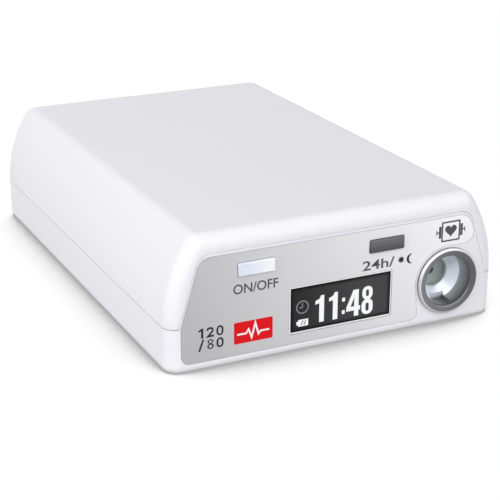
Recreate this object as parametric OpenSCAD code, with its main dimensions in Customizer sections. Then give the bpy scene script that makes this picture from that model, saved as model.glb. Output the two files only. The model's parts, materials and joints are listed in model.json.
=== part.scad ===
// Ambulatory blood pressure monitor: a pocket recorder that pumps up an arm cuff through
// the metal air socket at its front. Two white mouldings meet at a parting line that runs
// level along the sides and back and climbs over the front panel as an arch. Inside are two
// cells, a diaphragm pump, an exhaust valve, pressure sensors and two boards.
// Origin: middle of the flat base. X to the right seen from the front, Y to the back, Z up.

/* [Body] */
// Width at the parting line
body_w = 66.3; // [65.5:0.1:70]
// Length from the front panel to the back
body_l = 94.7; // [94:0.1:100]
// Overall height
body_h = 24.5; // [24.2:0.1:27]
// Height of the level parting line
part_z = 8.4; // [8:0.1:9]
// Radius of the leaning sides above the parting line
side_r = 26.8; // [26:0.1:34]
// Radius of the top edges and of the upright corners
edge_r = 2.75; // [2.4:0.05:2.9]
// Radius of the bottom edge
base_r = 1.2; // [0.6:0.1:1.4]
// Thickness of the case walls
wall = 1.8; // [1.6:0.1:2]
// Height of the tongue that centres the upper case
lip_h = 1; // [0.6:0.1:1.4]
// Thickness of that tongue
lip_t = 0.8; // [0.6:0.1:1]
// Gap between the tongue and the upper case
lip_gap = 0.1; // [0.05:0.05:0.2]

/* [Front panel] */
// Thickness of the front wall
face_t = 2; // [1.8:0.1:2.2]
// Width of the arch at the parting line
arch_w = 61.9; // [60:0.1:62.4]
// Height of the top of the arch
arch_top = 21.25; // [20.9:0.05:21.4]
// Lean of the sides of the arch in degrees
arch_lean = 16.6; // [15:0.1:18]
// Radius of the arch's top corners
arch_r = 3; // [2:0.1:4]
// Visible gap between the arch and the upper case
arch_gap = 0.15; // [0.1:0.05:0.3]
// Thickness of the printed panel
label_t = 0.3; // [0.2:0.05:0.5]
// Depth of the printed panel below the front face
label_sink = 0.05; // [0.02:0.01:0.1]
// Margin from the arch's sides to the printed panel
label_side = 0.35; // [0.3:0.05:0.8]
// Margin from the arch's top to the printed panel
label_top = 0.65; // [0.4:0.05:1]
// Height of the printed panel's lower edge
label_low = 1.6; // [1.3:0.05:2.2]
// Radius of the printed panel's corners
label_r = 1.8; // [1:0.1:2.2]
// Gap from the air socket's flange to the printed panel
label_socket_gap = 0.4; // [0.3:0.05:0.8]

/* [Display] */
// Middle of the window across the panel
display_x = 0.4; // [0:0.1:0.8]
// Middle of the window above the base
display_z = 7.85; // [7.7:0.05:8]
// Width of the window
window_w = 20.8; // [20:0.1:21.5]
// Height of the window
window_h = 8.9; // [8.5:0.1:9]
// Thickness of the window
window_t = 0.9; // [0.6:0.1:1.1]
// Ledge that the window is glued to
window_ledge = 0.9; // [0.6:0.1:1.2]
// Gap round the window
window_gap = 0.08; // [0.05:0.01:0.12]
// Width of the display glass
oled_w = 24; // [23:0.1:25]
// Height of the display glass
oled_h = 11; // [10.4:0.1:11.4]
// Thickness of the display glass
oled_t = 1.4; // [1.2:0.1:1.5]

/* [Keys] */
// Width of a key
key_w = 7; // [6:0.1:8]
// Height of a key
key_h = 2.4; // [2:0.1:3]
// Middle of the keys above the base
key_z = 17.45; // [17.3:0.05:17.8]
// Middle of the start key across the panel
start_x = -16.4; // [-17:0.1:-15.8]
// Middle of the day and night key across the panel
auto_x = 9.5; // [8.8:0.1:10]
// Gap round a key
key_gap = 0.12; // [0.08:0.02:0.2]
// How far a key stands out of the front face
key_proud = 0.35; // [0.2:0.05:0.5]
// Travel of a key
key_travel = 0.4; // [0.2:0.05:0.45]
// Rim behind the wall that keeps a key in
key_rim = 0.8; // [0.6:0.1:1]
// Thickness of that rim
key_rim_t = 0.9; // [0.7:0.1:1]
// Width of a tactile switch
switch_w = 4.5; // [4:0.1:5]
// Depth of a tactile switch
switch_t = 1.5; // [1.3:0.1:1.6]
// Radius of a switch's button
switch_button_r = 1; // [0.8:0.1:1.2]

/* [Air socket] */
// Distance of the socket from the right side of the body
socket_side = 10.55; // [10.4:0.05:11.2]
// Middle of the socket above the base
socket_z = 8.3; // [8.2:0.05:8.6]
// Radius of the flange
flange_r = 6.35; // [6.2:0.05:6.5]
// Thickness of the flange
flange_t = 0.55; // [0.4:0.05:0.9]
// Thickness of the gasket under the flange
gasket_t = 0.25; // [0.2:0.05:0.4]
// Radius of the entry that takes the hose plug
entry_r = 4.85; // [4.6:0.05:4.95]
// Length of the entry's straight wall
entry_l = 3.3; // [3:0.1:4.5]
// Depth of the chamfer round the mouth
mouth_chamfer = 0.35; // [0.2:0.05:0.5]
// Length of the funnel behind the entry
funnel_l = 1.7; // [1.2:0.1:2.5]
// Radius of the pocket behind the funnel
pocket_r = 2.75; // [2.2:0.05:3]
// Depth of that pocket
pocket_l = 1.2; // [0.8:0.1:2]
// Radius of the air passage
air_r = 0.8; // [0.6:0.05:1]
// Radius of the barrel that goes through the wall
barrel_r = 5.7; // [5.6:0.05:5.85]
// Length of the barrel behind the wall
barrel_l = 6; // [5.4:0.1:7]
// Width of the keyway in the entry
keyway_w = 3; // [2:0.1:3.4]
// Depth of the keyway into the wall
keyway_d = 0.45; // [0.3:0.05:0.5]
// Thickness of the socket's nut
nut_t = 2.4; // [2:0.1:3]
// Width of the nut across its flats
nut_af = 12.7; // [12.4:0.1:12.9]
// Gap in the nut's thread
thread_gap = 0.03; // [0.02:0.01:0.08]

/* [Air path] */
// Radius of the hose tails
tail_r = 1.45; // [1.3:0.05:1.5]
// Length of the hose tails
tail_l = 2.2; // [1.8:0.1:2.3]
// Length of the socket's own tail
socket_tail_l = 6; // [5:0.1:7]
// Wall of the silicone tubes
tube_wall = 0.8; // [0.6:0.05:1]
// Gap between a tube and its tail
tube_gap = 0.05; // [0.03:0.01:0.08]
// Radius of the socket tube's bend
bend_r = 3; // [2.6:0.1:3.4]
// Left end of the air manifold
manifold_x0 = -12; // [-13:0.1:-11]
// Length of the air manifold
manifold_l = 27; // [26.8:0.1:27.4]
// Depth of the air manifold
manifold_d = 7; // [6.6:0.1:7.2]
// Height of the air manifold
manifold_h = 6.2; // [5.8:0.1:6.6]
// Space between the manifold and the pump for the short tubes
manifold_space = 5; // [4.8:0.1:5.4]

/* [Pump] */
// Radius of the motor
motor_r = 7.2; // [6.8:0.1:7.4]
// Length of the motor
motor_l = 20; // [18:0.1:20.4]
// Thickness of the motor's can
can_t = 0.6; // [0.5:0.05:0.7]
// Radius of the motor's shaft
shaft_r = 0.75; // [0.7:0.05:0.9]
// Running clearance of the shaft
shaft_gap = 0.05; // [0.03:0.01:0.08]
// Thickness of the rubber rings that hold the motor
damper_t = 0.6; // [0.4:0.05:0.6]
// Length of the pump head
head_l = 15; // [14:0.1:15.5]
// Width and height of the pump head
head_w = 15.6; // [15.2:0.1:15.8]
// Middle of the pump from front to back
pump_y = -8; // [-8.5:0.1:-7]
// Right end of the pump head
pump_x1 = 7; // [6.5:0.1:7.4]
// Offset of the pin that works the diaphragm
crank = 1; // [0.6:0.1:1.2]

/* [Exhaust valve] */
// Width and height of the valve
valve_w = 10; // [9.4:0.1:10.4]
// Length of the valve's nozzle block
valve_block_l = 5; // [4.6:0.1:5.4]
// Length of the coil
coil_l = 8.6; // [8:0.1:9.2]
// Radius of the plunger
plunger_r = 1.9; // [1.6:0.1:2.2]
// Running gap round the plunger
plunger_gap = 0.1; // [0.06:0.01:0.1]
// Travel of the plunger
plunger_travel = 0.5; // [0.3:0.05:0.6]
// Thickness of the steel yoke
yoke_t = 0.8; // [0.6:0.1:1]
// Space between the pump head and the valve
valve_space = 2.5; // [2:0.1:3]

/* [Power] */
// Radius of a cell
cell_r = 7.1; // [7:0.05:7.25]
// Length of a cell without its nub
cell_l = 49.2; // [48.6:0.1:49.6]
// Radius of the cell's nub
nub_r = 2.6; // [2.2:0.1:2.75]
// Length of the cell's nub
nub_l = 1.3; // [1:0.1:1.5]
// Gap round the cells
cell_gap = 0.2; // [0.15:0.05:0.25]
// Length of a fitted battery spring
spring_l = 3; // [2.6:0.1:3.2]
// Radius of the spring's wire
wire_r = 0.3; // [0.25:0.05:0.35]
// Radius of the spring at the contact plate
spring_r1 = 4.6; // [4:0.1:5]
// Radius of the spring at the cell
spring_r2 = 2.6; // [2.2:0.1:3]
// Turns of the spring
spring_turns = 2.5; // [2:0.5:3]
// Thickness of the contact plates
contact_t = 0.4; // [0.3:0.05:0.5]
// Thickness of the battery bay's walls
bay_wall = 1; // [0.9:0.05:1.1]
// Thickness of the battery cover
cover_t = 1.55; // [1.4:0.05:1.6]
// Width of the cover's finger grip
grip_w = 16; // [12:1:20]
// Distance of the grip from the cover's front edge
grip_y = 4; // [3:0.5:8]
// Grooves in the grip
grip_n = 6; // [4:1:8]
// Width of one groove
grip_t = 0.8; // [0.6:0.1:1]
// Depth of the grooves
grip_depth = 0.4; // [0.3:0.1:0.6]
// How far the cover lies above the base
cover_sink = 0.15; // [0.1:0.05:0.25]
// Gap between the cover and its rails
slide_gap = 0.1; // [0.08:0.02:0.15]
// Width of the rail groove on each side
rail_w = 0.9; // [0.7:0.1:1.2]
// Height of the cover's upstand at the back
upstand_h = 5.6; // [4:0.1:7]

/* [Boards] */
// Thickness of the boards
board_t = 1; // [0.8:0.1:1.2]
// Gap between the battery bay and the main board
board_rise = 0.5; // [0.4:0.05:0.6]
// Clearance round the boards
board_gap = 0.6; // [0.4:0.05:0.8]
// Middle of the data socket across the back
usb_x = 16; // [12:0.1:19]
// Width of the data socket
usb_w = 7.5; // [7.2:0.1:7.8]
// Height of the data socket
usb_h = 2.7; // [2.5:0.05:2.8]
// Depth of the data socket
usb_l = 5.6; // [5:0.1:6]

/* [Board parts] */
// Space between the parts on the main board
part_space = 0.8; // [0.6:0.1:1]
// Distance of the front posts behind the front board
post_inset = 6.4; // [6:0.1:7]
// Clearance from the main board's side to the upper case
board_side = 1.3; // [1:0.1:1.6]
// Length of the row of pins between the boards
header_l = 20; // [18:1:22]
// Pitch of those pins
pin_pitch = 2; // [1.8:0.1:2]
// Width of the microcontroller
chip_w = 10; // [9:0.5:11]
// Height of the chips
chip_h = 1.4; // [1.2:0.1:1.6]
// Reach of the chips' legs
chip_leg = 1; // [0.7:0.1:1]
// Place of the memory chip across the board
memory_x = 13; // [12.5:0.5:16]
// Width of the memory chip
memory_w = 5; // [4:0.5:6]
// Length of the memory chip
memory_l = 6; // [5:0.5:7]
// Place of the crystal across the board
crystal_x = -11; // [-15:0.5:-10]
// Length of the crystal without its round ends
crystal_l = 4; // [3:0.5:5]
// Radius of those ends
crystal_r = 1.6; // [1.4:0.1:1.8]
// Height of the crystal
crystal_h = 2; // [1.6:0.1:2.2]
// Width of a capacitor
capacitor_w = 3.5; // [3:0.5:4]
// Length of a capacitor
capacitor_l = 2.8; // [2.4:0.1:3.2]
// Height of a capacitor
capacitor_h = 1.9; // [1.5:0.1:2.1]
// Pitch of the capacitors
capacitor_pitch = 7; // [6:0.5:7]
// Place of the buzzer across the board
buzzer_x = -16; // [-17:0.5:-12]
// Radius of the buzzer
buzzer_r = 4.5; // [4:0.1:4.6]
// Height of the buzzer
buzzer_h = 2.4; // [2:0.1:2.4]
// Place of the clock's cell across the board
clock_x = 15; // [12:0.5:16]
// Radius of the clock's cell
clock_r = 6.25; // [6:0.05:6.3]
// Height of the clock's cell
clock_h = 2.2; // [1.8:0.1:2.2]

/* [Screws] */
// Radius of the heads of the boards' screws
board_screw_r = 1.8; // [1.6:0.1:1.8]
// Distance of the case screws from the side of the body
screw_inset = 5.6; // [5.5:0.1:6]
// Place of the front pair of case screws
screw_y = -30; // [-30.5:0.1:-29.5]
// Radius of the case screws
screw_r = 1.1; // [1:0.05:1.2]
// Radius of their heads
screw_head_r = 2.1; // [2:0.05:2.2]
// Height of their heads
screw_head_h = 1.5; // [1.3:0.1:1.6]
// Depth of the heads below the base
screw_sink = 0.6; // [0.4:0.1:0.8]
// Radius of the bosses for the case screws
boss_r = 2.5; // [2.4:0.05:2.6]

/* [Hidden] */

$fn = 64;
arc_steps = 8;
// Small gap between neighbours that only rest against each other
seat = 0.05;
// Step between surfaces that would only just touch
hair = 0.01;

// Colours
white = [0.94, 0.94, 0.96];
silver = [0.8, 0.8, 0.82];
chrome = [0.75, 0.76, 0.78];
steel = [0.62, 0.63, 0.65];
brass = [0.8, 0.66, 0.36];
black = [0.08, 0.08, 0.09];
dark = [0.22, 0.22, 0.24];
green = [0.1, 0.35, 0.2];
clear = [0.85, 0.87, 0.85];
copper = [0.7, 0.4, 0.25];

// Body
front_y = -body_l / 2;
back_y = body_l / 2;
inner_y = front_y + face_t;
barrel_axis_x = body_w / 2 - side_r;
side_r0 = side_r - edge_r;
ball_z = body_h - edge_r;
ball_lean = asin((ball_z - part_z) / side_r0);
ball_x = barrel_axis_x + side_r0 * cos(ball_lean);
ball_y = back_y - edge_r;
corner_x = body_w / 2 - edge_r;

// Battery bay, from the base up and from the back forwards
cover_top = cover_sink + cover_t;
groove_top = cover_top + slide_gap;
rib_top = groove_top + bay_wall;
tongue_z = cover_sink + cover_t / 2;
cell_z = cover_top + cell_gap + cell_r;
bay_in_z = cell_z + cell_r + cell_gap;
bay_top = bay_in_z + bay_wall;
bay_y1 = back_y - wall - lip_gap - lip_t - cell_gap - bay_wall;
bay_y0 = bay_y1 - 4 * cell_r - 3 * cell_gap;
bay_front = bay_y0 - bay_wall;
rear_cell_y = bay_y1 - cell_gap - cell_r;
front_cell_y = rear_cell_y - 2 * cell_r - cell_gap;
bay_x = (cell_l + nub_l + spring_l) / 2 + contact_t;
cover_x = bay_x - rail_w;
groove_x = bay_x + rail_w;
cover_y0 = bay_y0 - bay_wall / 2 + slide_gap;
cell_x0 = spring_l - bay_x + contact_t;
contact_w = 11;
tab_w = 1.8;
spring_steps = 10;

// Boards
board_z = bay_top + board_rise;
board_top = board_z + board_t;
rim_y = inner_y + seat;
button_y = rim_y + key_rim_t;
switch_y = button_y + key_travel + slide_gap;
front_board_y = switch_y + switch_t;
front_board_back = front_board_y + board_t;
front_board_top = key_z + switch_w / 2 + board_gap;
front_board_z = wall + seat;
socket_x = body_w / 2 - socket_side;
nut_corner = nut_af / 2 / cos(30);
front_board_x0 = -body_w / 2 + wall + 5 * board_gap + lip_t;
front_board_x1 = socket_x - nut_corner - 2 * board_gap;
main_board_x = barrel_axis_x + sqrt((side_r - wall) ^ 2 - (board_top - part_z) ^ 2) - board_side;
main_board_y0 = front_board_back + board_gap;
main_board_y1 = back_y - wall - 3 * board_gap;

// Air socket along Y
flange_y = front_y - gasket_t - flange_t;
entry_y = flange_y + mouth_chamfer;
funnel_y = entry_y + entry_l;
pocket_y = funnel_y + funnel_l;
pocket_end = pocket_y + pocket_l;
barrel_end = inner_y + barrel_l;
tail_end = barrel_end + socket_tail_l;
ring_r = flange_r - 0.4;

// Pump, valve and manifold
motor_x1 = pump_x1 - head_l;
motor_x0 = motor_x1 - motor_l;
pump_z = wall + head_w / 2;
pump_front = pump_y - head_w / 2;
manifold_y = pump_front - manifold_space - manifold_d / 2;
manifold_x1 = manifold_x0 + manifold_l;
manifold_top = socket_z + manifold_h / 2;
outlet_x = pump_x1 - 3;
valve_x0 = pump_x1 + valve_space;
valve_y = pump_front + valve_w / 2;
valve_port_x = valve_x0 + valve_block_l / 2;
coil_x0 = valve_x0 + valve_block_l + yoke_t;
coil_x1 = coil_x0 + coil_l;
plunger_x0 = valve_x0 + 1 + plunger_travel + seat;
tube_r = tail_r + tube_gap + tube_wall;
port_r = air_r - 0.2;
sensor_w = 7.5;
sensor_h = 3.4;
sensor_in = 5;
sensor_pitch = 13.5;
sensor_x = [manifold_x0 + sensor_in, manifold_x0 + sensor_in + sensor_pitch];
sensor_bottom = board_z - sensor_h;
sensor_nip = (sensor_bottom - manifold_top) / 2 - 3 * seat;
head_body_l = 8;
head_x1 = motor_x1 + head_body_l;
head_wall = 1.6;
diaphragm_t = 1.2;
plate_x = head_x1 - 2.6;
plate_r = 5.2;
crank_x = motor_x1 + 1.2;
crank_l = 2.4;
crank_r = 3;
crank_pin_r = 0.8;
crank_web = 0.7;
plate_t = 1;
hub_wall = 1.1;
pin_gap = 0.3;
inlet_off = 3;
magnet_t = 0.9;
magnet_end = 4;
winding_r = 4.2;
core_r = motor_r - can_t - seat - magnet_t - 0.35;
slot_w = 1.2;
cap_t = 1.6;
damper_in = 2;
damper_l = 4;
cradle_w = 5;
plunger_l = 8;
core_x = plunger_x0 + plunger_l + plunger_travel;

// Small board parts
header_d = 2.5;
header_h = 1.3;
pin_t = 0.5;
leg_t = 0.25;
board_screw_h = 1.1;
press_x = 15;
press_r = 1.2;

// Screws
screw_x = body_w / 2 - screw_inset;
screw_ys = [screw_y, bay_front - boss_r - board_gap];
boss_top = board_z + board_t / 2;
screw_top = 14;
post_r = 2;
post_hole_r = 0.85;
post_hole_l = 6;
post_spots = [[-21, front_board_back + post_inset], [10.5, front_board_back + post_inset],
    [-20.5, bay_front - post_r - board_gap], [20.5, bay_front - post_r - board_gap]];

// Rows of parts on the main board, from the front backwards
row1_y = front_board_back + post_inset + board_screw_r + part_space + clock_r;
row2_y = row1_y + clock_r + part_space + chip_w / 2;
row3_y = bay_front - 2 * post_r - capacitor_l / 2;

// Points of a polygon with its corners rounded, one radius for each corner
function unit(v) = v / norm(v);
function corner(a, b, c, r) = r == 0 ? [b] :
    let (u = unit(a - b), v = unit(c - b), half = acos(u * v) / 2)
    let (mid = b + unit(u + v) * r / sin(half), p = b + u * r / tan(half) - mid)
    let (q = b + v * r / tan(half) - mid, a0 = atan2(p.y, p.x), a1 = atan2(q.y, q.x))
    let (turn = (a1 - a0 + 540) % 360 - 180)
    [for (i = [0 : arc_steps]) let (t = a0 + turn * i / arc_steps) mid + r * [cos(t), sin(t)]];
function rounded(pts, radii) = [for (i = [0 : len(pts) - 1]) each
    corner(pts[(i + len(pts) - 1) % len(pts)], pts[i], pts[(i + 1) % len(pts)], radii[i])];
function box_points(x, z, w, h) = [[x - w / 2, z - h / 2], [x - w / 2, z + h / 2],
    [x + w / 2, z + h / 2], [x + w / 2, z - h / 2]];

// Half width of the arch at height z, drawn in by a margin
function arch_x(z, margin) = arch_w / 2 - margin / cos(arch_lean) - (z - part_z) * tan(arch_lean);
function arch_points(margin, top_margin, low) = let (z1 = arch_top - top_margin) rounded(
    [[-arch_x(part_z, margin), low], [-arch_x(part_z, margin), part_z],
    [-arch_x(z1, margin), z1], [arch_x(z1, margin), z1],
    [arch_x(part_z, margin), part_z], [arch_x(part_z, margin), low]],
    [0, 0, arch_r, arch_r, 0, 0]);

// Outline of the printed panel: it follows the arch, and curls round the socket's flange
function label_points(grow) =
    let (margin = label_side - grow, top_z = arch_top - label_top + grow)
    let (low = label_low - grow, cut_r = flange_r + label_socket_gap - grow)
    let (ledge_z = socket_z + cut_r, right_x = socket_x - cut_r)
    concat(rounded([[right_x, low], [-arch_x(part_z, margin), low],
        [-arch_x(part_z, margin), part_z], [-arch_x(top_z, margin), top_z],
        [arch_x(top_z, margin), top_z], [arch_x(ledge_z, margin), ledge_z],
        [socket_x, ledge_z]], [label_r, label_r, arch_r, arch_r - label_side,
        arch_r - label_side, label_r, 0]),
        [for (i = [1 : 2 * arc_steps]) let (t = 90 + 90 * i / (2 * arc_steps))
        [socket_x + cut_r * cos(t), socket_z + cut_r * sin(t)]]);

// A drawing in X and Z, carried from y0 towards the back
module on_front(y0, t) { translate([0, y0 + t, 0]) rotate([90, 0, 0]) linear_extrude(t) children(); }
// A drawing in Y and Z, carried from x0 to the right
module on_side(x0, t) { translate([x0, 0, 0]) rotate([90, 0, 90]) linear_extrude(t) children(); }
// Turns a shape made along Z so that it lies along Y or X
module along_y(x, z) { translate([x, 0, z]) rotate([-90, 0, 0]) children(); }
module along_x(y, z) { translate([0, y, z]) rotate([90, 0, 90]) children(); }
module block(x, y, z) {
    translate([x[0], y[0], z[0]]) cube([x[1] - x[0], y[1] - y[0], z[1] - z[0]]);
}
module rod(r, z0, z1) { translate([0, 0, z0]) cylinder(r = r, h = z1 - z0); }

// A slice of a disc between two angles less than 180 degrees apart
module pie(r, a0, a1) {
    intersection() {
        circle(r);
        polygon([for (a = [undef, a0, (a0 + a1) / 2, a1]) a == undef ? [0, 0] : 2 * r * [cos(a), sin(a)]]);
    }
}

// Outer form above the parting line, drawn in by inset: sides that lean in on a large radius,
// with a ball of one radius rolled round every top edge and upright corner
module dome_section(inset) {
    far = 4 * edge_r;
    difference() {
        intersection() {
            translate([0, part_z]) square([body_w, body_h - inset - part_z]);
            union() {
                translate([barrel_axis_x, part_z]) circle(side_r - inset);
                square([barrel_axis_x, body_h]);
            }
        }
        // what the ball can't reach between the leaning side and the flat top
        difference() {
            polygon([[ball_x, ball_z], [ball_x + far * cos(ball_lean), ball_z + far * sin(ball_lean)],
                [ball_x + far, ball_z + far], [ball_x, ball_z + far]]);
            translate([ball_x, ball_z]) circle(edge_r - inset);
        }
    }
}
module dome_end(inset) {
    translate([0, part_z]) square([ball_y + edge_r - inset, ball_z - part_z]);
    translate([0, part_z]) square([ball_y, body_h - inset - part_z]);
    translate([ball_y, ball_z]) pie(edge_r - inset, 0, 90);
}
module dome_corner(inset) {
    rotate_extrude(angle = ball_lean) {
        square([side_r0, edge_r - inset]);
        translate([side_r0, 0]) pie(edge_r - inset, 0, 90);
    }
}
module dome_quarter(inset) {
    translate([0, ball_y, 0]) rotate([90, 0, 0]) linear_extrude(ball_y) dome_section(inset);
    on_side(0, ball_x) dome_end(inset);
    translate([barrel_axis_x, ball_y, part_z]) rotate([90, 0, 0]) mirror([0, 0, 1]) dome_corner(inset);
    // the ball itself, a hair smaller so that it lies inside its neighbours where they meet
    translate([ball_x, ball_y, ball_z]) rotate([90, 0, 45]) sphere(edge_r - inset - hair);
}
module dome(inset) {
    for (sx = [0, 1], sy = [0, 1]) mirror([sx, 0, 0]) mirror([0, sy, 0]) dome_quarter(inset);
}

// Plan of the body below the parting line, drawn in by inset
module plan(inset) {
    r = max(edge_r - inset, lip_gap);
    x = body_w / 2 - inset - r;
    y = body_l / 2 - inset - r;
    square([2 * x, 2 * (y + r)], center = true);
    square([2 * (x + r), 2 * y], center = true);
    for (sx = [-1, 1], sy = [-1, 1]) translate([sx * x, sy * y]) circle(r);
}
// Upright section of a wall that ends at a rounded bottom edge
module tray_section(len) {
    square([len - base_r, part_z]);
    translate([0, base_r]) square([len, part_z - base_r]);
    translate([len - base_r, base_r]) pie(base_r, 270, 360);
}
module tray_quarter() {
    translate([0, ball_y, 0]) rotate([90, 0, 0]) linear_extrude(ball_y) tray_section(body_w / 2);
    on_side(0, corner_x) tray_section(body_l / 2);
    translate([corner_x, ball_y, 0]) rotate_extrude(angle = 90) tray_section(edge_r);
}
module tray() {
    for (sx = [0, 1], sy = [0, 1]) mirror([sx, 0, 0]) mirror([0, sy, 0]) tray_quarter();
}

// Upper moulding: a thin shell with the arch left open for the front panel, four screw
// bosses and two posts that press on the main board
module upper_case() {
    color(white) difference() {
        union() {
            difference() {
                dome(0);
                dome(wall);
            }
            for (sx = [-1, 1], y = screw_ys) translate([sx * screw_x, y, 0]) rod(boss_r, part_z, boss_top);
            for (sx = [-1, 1]) translate([sx * press_x, (bay_y0 + bay_y1) / 2, 0])
                rod(press_r, board_top + cell_gap, body_h - wall);
        }
        on_front(front_y - wall, 2 * wall + edge_r) polygon(arch_points(-arch_gap, -arch_gap, part_z - wall));
        for (sx = [-1, 1], y = screw_ys) translate([sx * screw_x, y, 0])
            rod(screw_r + thread_gap, part_z - 1, screw_top + 1);
        data_opening();
    }
}
// Round-cornered opening in the back for the data plug
module data_opening() {
    on_front(back_y - 2 * wall, 3 * wall)
        polygon(rounded(box_points(usb_x, board_top + usb_h / 2, usb_w + 1.2, usb_h + 0.8),
        [for (i = [0 : 3]) 0.8]));
}

// Lower moulding: a tray that carries the front panel, the battery bay, the ribs and posts
// that the works stand on, and a tongue that centres the upper case
module lower_case() {
    color(white) difference() {
        union() {
            difference() {
                tray();
                translate([0, 0, wall]) linear_extrude(part_z) plan(wall);
            }
            front_panel();
            tongue();
            bay_shell();
            for (sx = [-1, 1], y = screw_ys) translate([sx * screw_x, y, 0]) rod(boss_r, wall / 2, part_z);
            for (p = post_spots) translate([p.x, p.y, 0]) rod(post_r, wall / 2, board_z);
            cradles();
            board_guides();
        }
        panel_cuts();
        bay_cuts();
        for (sx = [-1, 1], y = screw_ys) translate([sx * screw_x, y, 0]) {
            rod(screw_head_r + cell_gap, -1, screw_sink + screw_head_h);
            rod(screw_r + cell_gap, 0, part_z + 1);
        }
        for (p = post_spots) translate([p.x, p.y, 0]) rod(post_hole_r, board_z - post_hole_l, board_z + 1);
    }
}
// The front wall, as high as the arch, with a rim behind it that covers the parting gap
module front_panel() {
    on_front(front_y, face_t) polygon(arch_points(0, 0, base_r));
    intersection() {
        on_front(front_y + wall + lip_gap, lip_t) difference() {
            polygon(arch_points(-lip_t, -lip_t, part_z));
            polygon(arch_points(board_gap, board_gap, part_z - 1));
        }
        dome(wall + lip_gap);
    }
}
module tongue() {
    difference() {
        union() {
            translate([0, 0, part_z - 2 * lip_h]) linear_extrude(2 * lip_h) plan(wall / 2);
            translate([0, 0, part_z]) linear_extrude(lip_h) plan(wall + lip_gap);
        }
        translate([0, 0, part_z - 3 * lip_h]) linear_extrude(5 * lip_h) plan(wall + lip_gap + lip_t);
        block([-body_w, body_w], [-body_l, front_y + 2 * face_t], [0, body_h]);
    }
}
// Walls and roof over the cells, and the blocks over the rail grooves
module bay_shell() {
    block([-bay_x - bay_wall, bay_x + bay_wall], [bay_front, bay_y1 + bay_wall], [wall / 2, bay_top]);
    for (sx = [-1, 1]) mirror([sx < 0 ? 1 : 0, 0, 0])
        block([bay_x, groove_x + 2 * bay_wall], [bay_front, back_y - wall / 2], [wall / 2, rib_top]);
}
module bay_cuts() {
    // room for the cells, open downwards
    block([-bay_x, bay_x], [bay_y0, bay_y1], [groove_top, bay_in_z]);
    block([-cover_x - slide_gap, cover_x + slide_gap], [cover_y0 - slide_gap, back_y + 1], [-1, groove_top]);
    // grooves for the cover's tongues, open at the back
    block([-groove_x - slide_gap, groove_x + slide_gap], [cover_y0 - slide_gap, back_y + 1],
        [tongue_z - slide_gap, groove_top]);
    block([-cover_x - slide_gap, cover_x + slide_gap], [back_y - wall - slide_gap, back_y + 1],
        [-1, upstand_h + slide_gap]);
    // slots for the contact plates' tabs
    for (p = [[-bay_x, front_cell_y], [-bay_x, rear_cell_y], [bay_x - 2 * contact_t, rear_cell_y]])
        block([p.x, p.x + 2 * contact_t], [p.y - tab_w, p.y + tab_w], [bay_in_z - 1, bay_top + 1]);
}
// Openings in the front wall for the window, the keys and the socket, and the pocket that
// the printed panel is stuck into
module panel_cuts() {
    on_front(front_y - 1, 1 + label_sink + label_t) polygon(label_points(window_gap));
    on_front(front_y - 1, 1 + 2 * label_sink + window_t) square_hole(window_gap);
    on_front(front_y, 2 * face_t) square_hole(-window_ledge);
    for (x = [start_x, auto_x]) on_front(front_y - 1, 2 * face_t + 1)
        polygon(key_points(x, key_gap));
    along_y(socket_x, socket_z) rod(barrel_r + seat, front_y - 1, inner_y + 1);
}
module square_hole(grow) {
    translate([display_x, display_z]) square([window_w + 2 * grow, window_h + 2 * grow], center = true);
}
function key_points(x, grow) = rounded(box_points(x, key_z, key_w + 2 * grow, key_h + 2 * grow),
    [for (i = [0 : 3]) 0.35 + grow]);

// Ribs under the manifold and the valve
module cradles() {
    for (x = [manifold_x0 + 2, manifold_x1 - 4])
        block([x, x + 2], [manifold_y - cradle_w / 2, manifold_y + cradle_w / 2],
            [wall / 2, socket_z - manifold_h / 2]);
    for (x = [valve_x0 + 1, coil_x1 - 1])
        block([x, x + 1.5], [valve_y - cradle_w / 2, valve_y + cradle_w / 2],
            [wall / 2, socket_z - valve_w / 2]);
}
// Slotted posts that hold the front board upright
module board_guides() {
    for (x = [front_board_x0 - 1.2, front_board_x1 - 1.2])
        difference() {
            block([x, x + 2.4], [front_board_y - 1.2, front_board_back + 1.2], [wall / 2, part_z]);
            block([front_board_x0 - seat, front_board_x1 + seat],
                [front_board_y - seat, front_board_back + seat], [wall, part_z + 1]);
        }
}

// Sliding cover with a tongue along each side and an upstand that closes the back wall
module battery_cover() {
    color(white) difference() {
        union() {
            on_side(-cover_x, 2 * cover_x) {
                translate([cover_y0, cover_sink]) square([back_y - base_r - cover_y0, cover_t]);
                translate([back_y - wall, base_r]) square([wall, upstand_h - base_r]);
                translate([back_y - base_r - wall, base_r]) square([wall, cover_top - base_r]);
                intersection() {
                    translate([back_y - base_r, base_r]) pie(base_r, 270, 360);
                    translate([back_y - 2 * base_r, cover_sink]) square(2 * base_r);
                }
            }
            block([-groove_x, groove_x], [cover_y0, back_y - seat], [tongue_z, cover_top - slide_gap]);
        }
        // finger grip across the underside
        for (i = [0 : grip_n - 1]) block([-grip_w / 2, grip_w / 2],
            [cover_y0 + grip_y + grip_t * 2 * i, cover_y0 + grip_y + grip_t * (2 * i + 1)],
            [-1, cover_sink + grip_depth]);
    }
}

module front_label() {
    color(silver) on_front(front_y + label_sink, label_t) difference() {
        polygon(label_points(0));
        square_hole(window_gap);
        for (x = [start_x, auto_x]) polygon(key_points(x, key_gap));
    }
}
module display_window() {
    color(dark) on_front(front_y + 2 * label_sink, window_t) square_hole(0);
}

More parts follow.
